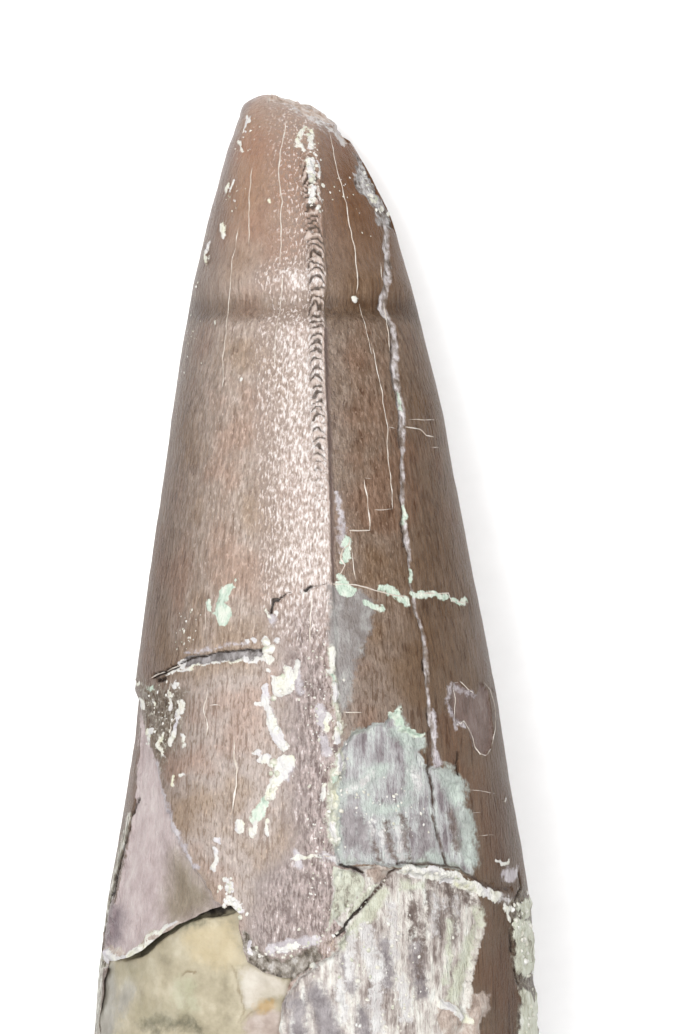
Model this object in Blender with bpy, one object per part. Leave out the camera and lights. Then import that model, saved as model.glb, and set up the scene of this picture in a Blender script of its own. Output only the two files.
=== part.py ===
"""A fossil phytosaur tooth: a blunt, slightly curved crown lying on its side.

The crown is worked out in millimetres with its base at y = 0, its tip along +Y and its upper
face towards +Z. Every shape is then laid down, so that the worn flats under the base and under
the tip lie on the floor, and the middle of the object's footprint is the origin.
"""

import math

import bmesh
import bpy
from mathutils import Matrix, Vector

MM = 0.001

# Crown
CROWN_LENGTH = 44.2
HALF_WIDTHS = ((0.0, 9.7), (13.0, 8.33), (38.0, 4.03))  # distance from the base, half width
DEPTH_RATIO = 1.05  # carina to carina against side to side
TIP_START = 38.0  # the worn, rounded tip begins here
TIP_POWER = 4  # higher is blunter
LEAN = ((0.0, 0.0), (14.0, 0.25), (36.0, -0.4))  # distance from the base, middle's x
TIP_LEAN_START = 36.0
TIP_LEAN = 0.0095  # the last millimetres lean left, by this times the square of their length
BOW = 1.9  # how far the middle of the crown rises above a straight axis
CROWN_SIDES = 48
SHAFT_RINGS = 30
TIP_RINGS = 8
BREAK_DEPTH = 0.45  # unevenness of the broken base
BREAK_REACH = 4.0

# Carina, the serrated ridge along the upper face, and the plain one opposite it
CARINA_X = ((10.0, 1.35), (24.0, 0.8), (40.0, 0.0))  # distance from the base, x of the ridge
KEEL = 0.035  # how much the section swells towards each carina
KEEL_SPREAD = 0.25
DENTICLE_PITCH = 1 / 3
DENTICLE_START = 10.5
DENTICLE_END = 42.5
DENTICLE_CREST = 0.24
DENTICLE_NOTCH = 0.08
DENTICLE_WORN = 23.0  # below this the serrations are worn down
WORN_SHARE = 0.45
CARINA_HALF_WIDTH = 0.4
CARINA_ROOT = 0.5  # how deep the ridge is set into the crown

# Growth band: a low swelling and a hollow across the upper face near the tip
BAND = 36.2
HOLLOW = 35.1
BAND_HEIGHT = 0.12
HOLLOW_DEPTH = 0.16
BAND_SPREAD = 0.55
BAND_RINGS = (34.5, 35.1, 35.6, 36.2, 36.8)

# Pulp cavity and the siltstone that fills it
WALL = 0.6  # thickness of the tooth's wall at the broken base
CAVITY_LENGTH = 22.0
CAVITY_POWER = 3
CAVITY_SIDES = 28
CAVITY_RINGS = 12
FILL_GAP = 0.3
FILL_START = 0.5  # the siltstone ends this far inside the base
FILL_SWELL = 0.12

# Breaks in the upper face, as outlines in x and y
DEEP = 0.35
SHALLOW = 0.2
LOST_WALL = (
    (-8.0, 8.3), (-6.9, 9.3), (-5.2, 10.4), (-3.8, 11.2), (-2.9, 10.9), (-2.5, 9.9),
    (-2.4, 8.9), (-1.9, 8.5), (-0.8, 8.0), (-1.0, 7.2), (-1.3, 4.0), (-1.0, -2.0),
    (-8.6, -2.0), (-8.4, 4.0),
)
LEFT_SPALL = (
    (-7.1, 17.6), (-6.6, 16.6), (-6.1, 15.1), (-5.6, 14.0), (-5.0, 13.0), (-4.4, 12.0),
    (-3.7, 11.1), (-5.1, 10.0), (-6.8, 8.9), (-7.8, 8.1), (-9.9, 7.6), (-9.9, 18.9),
    (-7.3, 18.7),
)
UPPER_RIGHT_BREAK = (
    (1.4, 12.8), (1.5, 17.9), (2.2, 18.4), (3.0, 18.4), (3.1, 18.9), (3.6, 18.8),
    (3.7, 18.1), (4.5, 17.9), (4.7, 17.0), (5.5, 16.3), (6.1, 15.8), (6.2, 14.0),
    (6.4, 12.2), (5.2, 12.6), (3.6, 12.9),
)
LOWER_RIGHT_BREAK = (
    (1.6, 12.4), (3.6, 12.5), (5.2, 12.2), (6.5, 11.6), (6.9, 10.9), (7.1, 9.9),
    (6.8, 8.7), (6.6, 7.1), (6.8, 3.0), (6.6, -2.0), (-0.6, -2.0), (-0.9, 4.0),
    (-0.6, 7.6), (0.8, 8.9), (1.8, 10.1), (1.5, 11.3),
)
RIGHT_FLANK_PATCH = (
    (5.8, 19.9), (6.4, 19.6), (7.0, 19.4), (7.3, 19.8), (7.4, 19.0), (7.4, 17.9),
    (7.2, 17.0), (6.8, 17.3), (6.6, 18.1), (6.3, 18.4), (6.1, 18.1), (5.9, 19.2),
)
TIP_CHIP = ((1.3, 42.4), (1.6, 41.2), (2.9, 39.5), (3.0, 38.6), (5.0, 38.4), (3.0, 42.4))
LONG_CRACK = (
    (3.1, 38.2), (3.2, 35.6), (3.4, 32.5), (3.7, 30.1), (3.8, 26.4), (4.0, 23.6),
    (4.4, 21.6), (4.8, 19.6), (4.9, 17.2),
)
LONG_CRACK_WIDTH = 0.25
LEFT_CRACK = ((-7.1, 19.7), (-6.1, 20.3), (-5.3, 20.7), (-3.8, 21.0), (-2.2, 21.2))
LEFT_CRACK_WIDTH = 0.35
MIDDLE_CRACK = ((-1.7, 22.7), (-1.7, 23.3), (-1.1, 23.4), (-0.4, 23.5), (0.3, 23.7))
MIDDLE_CRACK_WIDTH = 0.2
BREAK_TOP = 14.0  # above the highest point of the upper face
BREAK_LOW = 1.2  # the breaks stay on the upper face
WINDOW_LOW = 2.5

# Rest: the flats worn under the base and under the tip
REST_BASE = 1.5
REST_TIP = 41.5
FLAT_DEPTH = 0.35


def through(points, at):
    """The parabola through three (place, value) points, read at one place."""
    total = 0.0
    for place, value in points:
        weight = value
        for other, _ in points:
            if other != place:
                weight *= (at - other) / (place - other)
        total += weight
    return total


def half_width(y):
    """Half the crown's width at a distance from the base, nothing at the tip."""
    width = through(HALF_WIDTHS, y)
    if y > TIP_START:
        part = min(1.0, (y - TIP_START) / (CROWN_LENGTH - TIP_START))
        width *= math.sqrt(1 - part**TIP_POWER)
    return width


def middle(y):
    """The centre of the section at a distance from the base."""
    x = through(LEAN, y) - TIP_LEAN * max(0.0, y - TIP_LEAN_START) ** 2
    part = y / CROWN_LENGTH
    return Vector((x, y, 4 * BOW * part * (1 - part)))


def carina_angle(y):
    """Where the upper carina stands round the section, from +X towards +Z."""
    share = (through(CARINA_X, y) - middle(y).x) / max(half_width(y), 0.5)
    return math.acos(max(-0.4, min(0.4, share)))


def growth_band(y, angle):
    """Height of the swelling and hollow across the upper face."""
    swelling = BAND_HEIGHT * math.exp(-(((y - BAND) / BAND_SPREAD) ** 2))
    hollow = HOLLOW_DEPTH * math.exp(-(((y - HOLLOW) / BAND_SPREAD) ** 2))
    return max(0.0, math.sin(angle)) * (swelling - hollow)


def section_point(y, angle, inset=0.0):
    """A point of the crown's section, or of the same section drawn in all round."""
    turn = abs(math.remainder(angle, math.tau))
    keel = 1 + KEEL * math.exp(-abs(turn - carina_angle(y)) / KEEL_SPREAD)
    width = half_width(y)
    across = max(0.0, width * keel + growth_band(y, angle) - inset)
    up = max(0.0, DEPTH_RATIO * width * keel + growth_band(y, angle) - inset)
    if width == 0.0:
        across = up = 0.0
    return middle(y) + Vector((across * math.cos(angle), 0.0, up * math.sin(angle)))


def ring_angle(y, step, sides):
    """Angles round a ring, with one of its points on each carina."""
    half = sides // 2
    carina = carina_angle(y)
    if step <= half:
        return carina + (math.tau - 2 * carina) * step / half
    return -carina + 2 * carina * (step - half) / half


def tube(place, sides, rings):
    """A closed skin: a grid rolled up, with place(step, ring) giving each point."""
    shape = bmesh.new()
    bmesh.ops.create_grid(shape, x_segments=sides, y_segments=rings, size=1.0)
    for vert in shape.verts:
        step = round((vert.co.x + 1) / 2 * sides) % sides
        ring = round((vert.co.y + 1) / 2 * rings)
        vert.co = place(step, ring)
    bmesh.ops.remove_doubles(shape, verts=shape.verts, dist=1e-5)
    bmesh.ops.recalc_face_normals(shape, faces=shape.faces)
    return shape


def crown_rings(start):
    """Distances from the base of the crown's rings, closer together at the band and the tip."""
    shaft = [start + (TIP_START - start) * k / SHAFT_RINGS for k in range(SHAFT_RINGS + 1)]
    tip = [
        TIP_START + (CROWN_LENGTH - TIP_START) * math.sin(math.pi / 2 * k / TIP_RINGS)
        for k in range(1, TIP_RINGS + 1)
    ]
    return sorted(shaft + list(BAND_RINGS)) + tip


def break_edge(y, angle):
    """How far the uneven break moves a point of the crown near its base."""
    fade = max(0.0, 1 - y / BREAK_REACH)
    return fade * BREAK_DEPTH * (0.6 * math.sin(2 * angle + 1) + 0.4 * math.sin(5 * angle))


def crown(inset=0.0, start=0.0):
    """The whole crown, or a smaller one inside it whose base lies further back."""
    places = crown_rings(start)

    def place(step, ring):
        if ring == 0:
            return middle(start)
        y = places[ring - 1]
        angle = ring_angle(y, step, CROWN_SIDES)
        if inset == 0.0:
            y += break_edge(y, angle)
        return section_point(y, angle, inset)

    return tube(place, CROWN_SIDES, len(places))


def cavity_inset(y):
    """Thickness of the wall round the pulp cavity, which closes at the cavity's end."""
    part = min(1.0, max(0.0, y) / CAVITY_LENGTH)
    room = half_width(y) - WALL
    return WALL + room * (1 - math.sqrt(1 - part**CAVITY_POWER))


def cavity_rings(start):
    """Distances from the base of the cavity's rings, closer together at its round end."""
    return [
        start + (CAVITY_LENGTH - start) * math.sin(math.pi / 2 * k / CAVITY_RINGS)
        for k in range(CAVITY_RINGS + 1)
    ]


def cavity(start):
    """The pulp cavity as a solid to take out of the crown."""
    places = cavity_rings(start)

    def place(step, ring):
        if ring in (0, len(places)):
            return middle(places[max(ring - 1, 0)])
        y = places[ring - 1]
        return section_point(y, ring_angle(y, step, CAVITY_SIDES), cavity_inset(y))

    return tube(place, CAVITY_SIDES, len(places))


def fill():
    """The siltstone inside the cavity, gently lumpy, with a gap all round."""
    places = [y - FILL_GAP for y in cavity_rings(FILL_START + FILL_GAP)]

    def place(step, ring):
        if ring in (0, len(places)):
            return middle(places[max(ring - 1, 0)])
        y = places[ring - 1]
        angle = ring_angle(y, step, CAVITY_SIDES)
        lump = FILL_SWELL * (1 + math.sin(3 * angle + 0.9 * y)) / 2
        return section_point(y, angle, cavity_inset(y) + FILL_GAP + lump)

    return tube(place, CAVITY_SIDES, len(places))


def carina():
    """The serrated ridge: a row of small roofs, each with its crest and its notch."""
    count = round((DENTICLE_END - DENTICLE_START) / DENTICLE_PITCH)

    def place(step, ring):
        y = DENTICLE_START + ring * DENTICLE_PITCH / 2
        surface = section_point(y, carina_angle(y))
        if ring in (0, 2 * count):
            return surface - Vector((0.0, 0.0, CARINA_ROOT / 2))
        height = DENTICLE_CREST if ring % 2 else DENTICLE_NOTCH
        if y < DENTICLE_WORN:
            height *= WORN_SHARE
        side = (-CARINA_HALF_WIDTH, 0.0, CARINA_HALF_WIDTH, 0.0)[step]
        rise = (-CARINA_ROOT / 3, height, -CARINA_ROOT / 3, -CARINA_ROOT)[step]
        return surface + Vector((side, 0.0, rise))

    return tube(place, 4, 2 * count)


def strip(path, width):
    """The outline of a crack: its path given a width, pointed at both ends."""
    left, right = [], []
    for before, here, after in zip(path, path[1:], path[2:]):
        along = Vector(after) - Vector(before)
        aside = Vector((-along.y, along.x)).normalized() * width / 2
        left.append(Vector(here) + aside)
        right.append(Vector(here) - aside)
    return [path[0], *left, path[-1], *reversed(right)]


def add_prism(shape, outline, low, high):
    """An upright prism with this outline, added to a shape."""
    corners = [shape.verts.new((x, y, low)) for x, y in outline]
    face = shape.faces.new(corners)
    raised = bmesh.ops.extrude_face_region(shape, geom=[face])
    verts = [part for part in raised["geom"] if isinstance(part, bmesh.types.BMVert)]
    bmesh.ops.translate(shape, verts=verts, vec=(0.0, 0.0, high - low))


def prisms(outlines, low):
    """Upright prisms over several outlines that don't overlap."""
    shape = bmesh.new()
    for outline in outlines:
        add_prism(shape, outline, low, BREAK_TOP)
    bmesh.ops.recalc_face_normals(shape, faces=shape.faces)
    return shape


def underside(y):
    """The lowest point of the crown's section."""
    return section_point(y, -carina_angle(y))


def floor_plane():
    """A point and the upward normal of the floor, which trims both ends of the underside."""
    base = underside(REST_BASE) + Vector((0.0, 0.0, FLAT_DEPTH))
    tip = underside(REST_TIP) + Vector((0.0, 0.0, FLAT_DEPTH))
    slope = (tip.z - base.z) / (tip.y - base.y)
    return base, Vector((0.0, -slope, 1.0)).normalized()


def trim_to_floor(shape):
    """Wears the underside down to two flats on the floor plane."""
    point, normal = floor_plane()
    geom = [*shape.verts, *shape.edges, *shape.faces]
    bmesh.ops.bisect_plane(
        shape, geom=geom, dist=1e-5, plane_co=point, plane_no=normal, clear_inner=True
    )
    rim = [edge for edge in shape.edges if edge.is_boundary]
    bmesh.ops.holes_fill(shape, edges=rim, sides=0)
    bmesh.ops.recalc_face_normals(shape, faces=shape.faces)


def laid_down():
    """Turns the crown's millimetres into metres on the floor, the tip still towards +Y."""
    point, normal = floor_plane()
    turn = Matrix.Rotation(-math.atan2(-normal.y, normal.z), 4, "X")
    drop = Matrix.Translation((0.0, 0.0, -(turn @ point).z))
    return Matrix.Scale(MM, 4) @ drop @ turn


def solid(name, shape, material=None):
    """An object from a shape in crown millimetres; one with no material is a cutter."""
    mesh = bpy.data.meshes.new(name)
    shape.transform(laid_down())
    shape.to_mesh(mesh)
    shape.free()
    obj = bpy.data.objects.new(name, mesh)
    bpy.context.scene.collection.objects.link(obj)
    if material is None:
        obj.hide_render = True
        obj.display_type = "WIRE"
    else:
        mesh.materials.append(material)
        mesh.shade_smooth()
        mesh.set_sharp_from_angle(angle=math.radians(32))
    return obj


def boolean(obj, other, operation):
    """Joins another solid to an object, or takes it away."""
    modifier = obj.modifiers.new(f"{operation.lower()}_{other.name}", "BOOLEAN")
    modifier.operation = operation
    modifier.solver = "EXACT"
    modifier.object = other


def break_away(tooth, name, outlines, depth):
    """Lowers the upper face by a depth inside some outlines, following its curve."""
    cutter = solid(name, prisms(outlines, BREAK_LOW))
    core = solid(f"{name}_floor", crown(inset=depth, start=-3.0))
    boolean(cutter, core, "DIFFERENCE")
    boolean(tooth, cutter, "DIFFERENCE")


def principled(name, colour, roughness, metallic=0.0):
    """A plain material of one colour."""
    material = bpy.data.materials.new(name)
    material.use_nodes = True
    shader = material.node_tree.nodes["Principled BSDF"]
    shader.inputs["Base Color"].default_value = (*colour, 1.0)
    shader.inputs["Roughness"].default_value = roughness
    shader.inputs["Metallic"].default_value = metallic
    material.diffuse_color = (*colour, 1.0)
    return material


def centre_footprint(visible, everything):
    """Moves the meshes so that the middle of the visible solids' footprint is the origin."""
    bpy.context.view_layer.update()
    graph = bpy.context.evaluated_depsgraph_get()
    corners = [
        Vector(corner) for obj in visible for corner in obj.evaluated_get(graph).bound_box
    ]
    middles = [
        (min(c[axis] for c in corners) + max(c[axis] for c in corners)) / 2 for axis in (0, 1)
    ]
    for obj in everything:
        obj.data.transform(Matrix.Translation((-middles[0], -middles[1], 0.0)))


def build():
    """The tooth and the siltstone in its pulp cavity."""
    for obj in list(bpy.data.objects):
        bpy.data.objects.remove(obj)

    enamel = principled("enamel", (0.25, 0.14, 0.092), 0.42)
    siltstone = principled("siltstone", (0.42, 0.36, 0.21), 0.85)

    body = crown()
    trim_to_floor(body)
    tooth = solid("tooth", body, enamel)
    boolean(tooth, solid("carina", carina()), "UNION")
    boolean(tooth, solid("pulp_cavity", cavity(-1.5)), "DIFFERENCE")
    boolean(tooth, solid("lost_wall", prisms([LOST_WALL], WINDOW_LOW)), "DIFFERENCE")
    deep = [LEFT_SPALL, UPPER_RIGHT_BREAK, LOWER_RIGHT_BREAK]
    break_away(tooth, "deep_breaks", deep, DEEP)
    shallow = [
        RIGHT_FLANK_PATCH,
        TIP_CHIP,
        strip(LONG_CRACK, LONG_CRACK_WIDTH),
        strip(LEFT_CRACK, LEFT_CRACK_WIDTH),
        strip(MIDDLE_CRACK, MIDDLE_CRACK_WIDTH),
    ]
    break_away(tooth, "shallow_breaks", shallow, SHALLOW)

    matrix_fill = solid("matrix_fill", fill(), siltstone)
    centre_footprint([tooth, matrix_fill], list(bpy.data.objects))


build()
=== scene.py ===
# %% [markdown]
# # A fossil phytosaur tooth
#
# Phytosaurs were long-snouted reptiles of the Triassic. This is one of their large front teeth:
# a blunt, slightly bent cone of dentine under a skin of brown enamel, with a serrated ridge, the
# carina, down its upper face. Burial has cracked it, flaked some enamel off, filled the hollow
# of its root end with siltstone and left pale mineral crusts in the cracks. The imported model
# gives its size, place and main shape. The cells below rebuild its skin finely enough for the
# cracks, flakes and serrations, then add the minerals, the finishes, the camera and the light.

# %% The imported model
import math

import bmesh
import bpy
import numpy as np
from mathutils import Matrix, Vector, noise
from mathutils.bvhtree import BVHTree
from mathutils.kdtree import KDTree


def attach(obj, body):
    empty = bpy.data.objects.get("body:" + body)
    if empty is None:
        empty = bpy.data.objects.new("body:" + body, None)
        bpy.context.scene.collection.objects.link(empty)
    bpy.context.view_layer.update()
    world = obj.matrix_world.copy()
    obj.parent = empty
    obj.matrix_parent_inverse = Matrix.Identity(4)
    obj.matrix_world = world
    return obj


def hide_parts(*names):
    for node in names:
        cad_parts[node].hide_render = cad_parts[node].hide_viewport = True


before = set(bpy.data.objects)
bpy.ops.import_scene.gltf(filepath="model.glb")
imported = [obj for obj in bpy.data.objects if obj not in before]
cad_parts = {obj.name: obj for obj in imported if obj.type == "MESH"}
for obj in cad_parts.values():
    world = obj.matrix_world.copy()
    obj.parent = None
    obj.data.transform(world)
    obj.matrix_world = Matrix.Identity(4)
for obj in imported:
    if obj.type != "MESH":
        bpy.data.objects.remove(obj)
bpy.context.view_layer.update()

scene = bpy.context.scene
MM = 0.001
NOISE_SEED = 7
noise.seed_set(NOISE_SEED)  # without it, noise vectors start from the clock and change each run


# %% [markdown]
# ## The crown as a formula
#
# A tooth crown is a row of nearly round sections whose width, middle and slight bend change
# smoothly from the broken base to the tip. Sculpting would work too, but a few parabolas give
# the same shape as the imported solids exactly. Everything is measured in millimetres in the
# crown's own frame: the base at y = 0, the tip at +Y, the upper face towards +Z. The finished
# meshes are laid down on the floor at the very end.

# %% The crown's sections
CROWN_LENGTH = 44.2
HALF_WIDTHS = ((0.0, 9.7), (13.0, 8.33), (38.0, 4.03))  # distance from the base, half width
DEPTH_RATIO = 1.05
TIP_START = 38.0
TIP_POWER = 4
LEAN = ((0.0, 0.0), (14.0, 0.25), (36.0, -0.4))
TIP_LEAN_START = 36.0
TIP_LEAN = 0.0095
BOW = 1.9
CARINA_X = ((10.0, 1.35), (24.0, 0.8), (40.0, 0.0))
KEEL = 0.035
KEEL_SPREAD = 0.25


def through(points, at):
    """The parabola through three (place, value) points, read at some places."""
    places, values = zip(*points)
    return np.polyval(np.polyfit(places, values, 2), at)


def half_width(y):
    """Half the crown's width at distances from the base, nothing at the tip."""
    part = np.clip((y - TIP_START) / (CROWN_LENGTH - TIP_START), 0, 1)
    return through(HALF_WIDTHS, y) * np.sqrt(1 - part**TIP_POWER)


def middle(y):
    """x and z of the middle of the crown's sections."""
    part = y / CROWN_LENGTH
    x = through(LEAN, y) - TIP_LEAN * np.maximum(0, y - TIP_LEAN_START) ** 2
    return x, 4 * BOW * part * (1 - part)


def crown_point(y, angle, inset=0.0):
    """Points of the crown's skin, or of a smaller skin drawn in all round."""
    width = half_width(y)
    x, z = middle(y)
    share = (through(CARINA_X, y) - x) / np.maximum(width, 0.5)
    carina_angle = np.arccos(np.clip(share, -0.4, 0.4))
    turn = np.abs((angle + math.pi) % math.tau - math.pi)
    keel = 1 + KEEL * np.exp(-np.abs(turn - carina_angle) / KEEL_SPREAD)
    across = np.maximum(0, width * keel - inset)
    up = np.maximum(0, DEPTH_RATIO * width * keel - inset)
    return np.column_stack((x + across * np.cos(angle), y, z + up * np.sin(angle)))


print("half widths at 0, 20, 40 mm:", half_width(np.array([0.0, 20.0, 40.0])).round(2))


# %% [markdown]
# ## Where the damage is
#
# Every crack, flake scar and crust is a short list of points in x and y, read off the upper
# face as seen from straight above. Two kinds are enough: an outline encloses an area, and a
# stroke is a path with a radius. Both give a distance in millimetres that is positive inside,
# which later sets depth in the mesh and colour in the material.

# %% Outlines of the broken areas
LOST_WALL = (
    (-8.2, 8.4), (-7.63, 8.6), (-6.98, 8.93), (-6.47, 9.35), (-5.97, 9.83), (-5.39, 10.16),
    (-4.81, 10.47), (-4.2, 10.75), (-3.51, 11.05), (-3.11, 11.06), (-2.83, 10.76),
    (-2.79, 10.12), (-2.67, 9.33), (-2.47, 8.87), (-1.91, 8.48), (-1.11, 8.26), (-0.72, 8.26),
    (-0.91, 7.79), (-1.15, 7.19), (-1.3, 4.0), (-1.0, -2.0), (-8.8, -2.0), (-8.75, 4.0),
    (-8.6, 6.3), (-8.5, 7.6),
)
SPALL = (
    (-7.15, 18.79), (-6.84, 17.67), (-6.56, 16.73), (-6.26, 16.12), (-6.04, 15.57),
    (-5.86, 14.75), (-5.65, 14.04), (-5.32, 13.35), (-4.9, 12.81), (-4.53, 12.39),
    (-4.16, 11.82), (-3.88, 11.3), (-3.4, 11.1), (-4.2, 10.4), (-6.0, 9.4), (-7.6, 8.2),
    (-8.7, 8.0), (-8.3, 9.36), (-8.1, 10.22), (-7.9, 11.28), (-7.72, 12.43), (-7.52, 13.36),
    (-7.36, 14.39), (-7.32, 15.4), (-7.3, 16.6), (-7.28, 17.6),
)
UPPER_DENTINE = (
    (1.11, 12.85), (0.83, 13.68), (0.83, 14.67), (0.95, 15.7), (1.19, 16.88), (1.34, 17.36),
    (1.62, 17.95), (2.06, 18.14), (2.5, 18.18), (2.78, 18.37), (2.98, 18.37), (3.18, 18.84),
    (3.54, 18.91), (3.66, 18.43), (3.74, 18.08), (4.46, 17.98), (4.5, 17.5), (4.42, 17.14),
    (4.7, 16.66), (4.95, 16.65), (5.23, 16.48), (5.56, 16.19), (5.8, 15.94), (6.01, 15.92),
    (6.05, 15.44), (6.25, 14.63), (6.37, 13.83), (6.57, 12.77), (6.57, 12.1), (5.71, 12.44),
    (4.7, 12.61), (3.65, 12.61), (2.97, 12.67), (2.46, 12.76), (1.66, 12.77),
)
LOWER_DENTINE = (
    (1.19, 12.69), (1.66, 12.61), (2.46, 12.68), (3.65, 12.49), (4.7, 12.41), (5.55, 12.21),
    (6.24, 11.88), (6.74, 11.4), (6.82, 11.12), (6.98, 10.3), (6.9, 9.83), (6.77, 9.12),
    (6.65, 8.65), (6.56, 7.74), (6.44, 6.95), (6.4, 5.0), (6.3, -2.0), (-1.1, -2.0),
    (-1.23, 6.04), (-1.15, 6.99), (-0.91, 7.71), (-0.56, 8.19), (0.08, 8.67), (0.63, 9.06),
    (1.11, 9.53), (1.35, 10.16), (0.95, 10.64), (0.83, 11.35), (0.87, 12.14),
)
FLANK_PATCH = (
    (5.74, 19.85), (6.03, 19.88), (6.36, 19.58), (6.78, 19.32), (7.04, 19.86), (7.3, 19.47),
    (7.47, 18.65), (7.46, 17.85), (7.36, 17.14), (7.1, 16.89), (6.85, 16.95), (6.64, 17.28),
    (6.43, 17.94), (6.18, 18.31), (6.02, 18.2), (5.89, 18.08), (5.77, 18.69), (5.81, 19.17),
)
TIP_CHIP = (
    (1.71, 41.1), (1.83, 40.25), (1.95, 40.0), (2.28, 39.65), (2.57, 39.2), (2.65, 38.61),
    (3.11, 38.67), (4.5, 38.5), (4.5, 42.0), (2.6, 42.0),
)
TIP_WEAR = (
    (-1.83, 44.08), (-1.31, 43.71), (-0.77, 43.56), (-0.36, 43.29), (-0.23, 43.16),
    (0.18, 43.27), (0.59, 42.88), (0.88, 42.72), (0.97, 42.28), (1.09, 42.02), (1.46, 41.74),
    (1.67, 41.85), (3.5, 42.0), (3.5, 45.5), (-1.83, 45.5),
)
OLIVE_STAIN = (
    (-5.65, 13.16), (-4.9, 12.81), (-4.16, 11.82), (-3.88, 11.15), (-4.2, 10.74), (-4.81, 10.47),
    (-5.84, 9.96), (-6.14, 10.93), (-5.98, 12.14),
)
GREY_FILM = (
    (0.7, 23.79), (1.58, 23.7), (2.46, 23.38), (2.7, 22.98), (2.5, 22.19), (2.18, 21.55),
    (1.86, 20.84), (1.82, 20.05), (1.58, 19.33), (1.34, 18.78), (1.03, 19.26), (0.91, 20.84),
    (0.75, 22.43),
)
SCABBED = (
    (-7.03, 19.86), (-6.47, 19.59), (-5.77, 19.71), (-5.1, 19.5), (-5.18, 18.7), (-5.42, 17.77),
    (-5.84, 17.06), (-6.17, 16.32), (-6.52, 17.02), (-6.84, 17.87), (-7.1, 18.8),
)
LOBE_FACE = (
    (-2.79, 10.1), (-2.67, 9.33), (-2.47, 8.87), (-1.91, 8.48), (-1.11, 8.2), (-0.56, 8.25),
    (0.08, 8.75), (0.63, 9.1), (0.3, 9.7), (-0.3, 9.2), (-1.1, 8.9), (-1.8, 9.05), (-2.3, 9.45),
    (-2.55, 10.1),
)
BRUISE = (
    (-1.1, 22.8), (0.55, 23.4), (0.8, 18.0), (1.0, 13.2), (0.9, 11.0), (1.0, 10.2), (0.3, 9.6),
    (-1.1, 8.8), (-2.4, 9.2), (-2.7, 10.5), (-2.0, 12.5), (-0.9, 13.5), (-0.8, 17.0), (-1.2, 20.0),
)
CRUSTS = {
    "mint": (
        ((-3.75, 23.76), (-3.13, 23.82), (-3.03, 23.67), (-3.29, 23.4), (-3.48, 23.09),
         (-3.13, 22.93), (-3.07, 22.57), (-3.23, 22.31), (-3.44, 22.18), (-3.71, 22.25),
         (-3.84, 22.56), (-3.97, 22.72), (-3.82, 22.82), (-3.61, 23.24)),
        ((-2.51, 14.49), (-2.4, 14.96), (-2.08, 15.29), (-1.68, 15.61), (-1.6, 15.29),
         (-1.76, 14.82), (-2.07, 14.57), (-2.39, 14.25)),
    ),
    "cream": (
        ((-1.57, 20.2), (-1.21, 20.33), (-0.81, 20.53), (-0.57, 20.37), (-0.57, 19.85),
         (-0.77, 19.5), (-1.2, 19.41), (-1.48, 19.65)),
    ),
    "plate_bed": (
        ((7.9, 10.82), (8.22, 10.95), (8.44, 11.6), (8.75, 11.2), (8.91, 10.27), (9.3, 9.23),
         (9.6, 7.76), (9.7, 5.12), (9.6, 3.0), (8.3, 3.2), (8.37, 5.51), (8.43, 6.5), (8.58, 7.1),
         (8.29, 8.11), (8.13, 8.88), (8.02, 9.73), (8.04, 10.35)),
    ),
    "plate": (
        ((8.28, 10.84), (8.65, 11.05), (8.98, 10.6), (8.95, 10.08), (8.63, 10.0), (8.34, 10.3)),
        ((8.1, 10.14), (8.39, 10.2), (8.76, 9.98), (9.04, 9.51), (9.22, 8.85), (9.3, 8.09),
         (9.2, 7.63), (8.73, 7.64), (8.38, 7.99), (8.26, 8.65), (8.16, 9.51)),
        ((8.52, 7.3), (8.7, 7.35), (8.94, 7.1), (9.3, 6.78), (9.45, 5.22), (9.4, 3.0), (8.4, 3.1),
         (8.42, 5.54), (8.5, 6.23)),
        ((0.95, 12.76), (1.67, 12.6), (2.32, 12.33), (2.38, 11.87), (1.88, 11.3), (1.05, 10.68),
         (0.64, 10.05), (0.55, 10.2), (0.84, 11.06), (0.9, 11.99)),
        ((2.5, 11.95), (2.95, 12.0), (2.6, 11.5), (2.22, 11.1), (1.58, 10.5), (1.11, 10.1),
         (1.5, 10.87)),
    ),
    "knob": (
        ((-8.6, 8.4), (-8.55, 8.95), (-8.1, 9.05), (-7.7, 8.85), (-7.45, 9.0), (-7.0, 9.3),
         (-6.7, 9.65), (-6.3, 9.95), (-5.9, 10.2), (-5.4, 10.42), (-5.2, 10.2), (-5.9, 9.7),
         (-6.4, 9.2), (-6.95, 8.75), (-7.6, 8.4), (-8.1, 8.3)),
        ((6.5, 7.4), (6.83, 7.58), (7.15, 7.33), (7.24, 6.8), (6.99, 6.3), (6.82, 5.9),
         (6.6, 4.5), (6.2, 4.3), (6.1, 5.4), (6.29, 6.06)),
        ((5.3, 7.1), (5.8, 7.2), (6.3, 6.7), (6.35, 6.1), (5.9, 5.6), (5.3, 6.1)),
        ((2.46, 12.3), (2.6, 12.65), (2.95, 12.74), (3.2, 12.5), (3.1, 12.15), (2.75, 12.0)),
    ),
}
AREAS = {
    "upper_dentine": UPPER_DENTINE, "lower_dentine": LOWER_DENTINE, "spall": SPALL,
    "olive": OLIVE_STAIN, "patch": FLANK_PATCH, "film": GREY_FILM, "bruise": BRUISE,
    "face": LOBE_FACE, "scab": SCABBED, "chip": TIP_CHIP, "wear": TIP_WEAR,
}
print("areas:", len(AREAS), "and crusts:", {name: len(group) for name, group in CRUSTS.items()})

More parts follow.
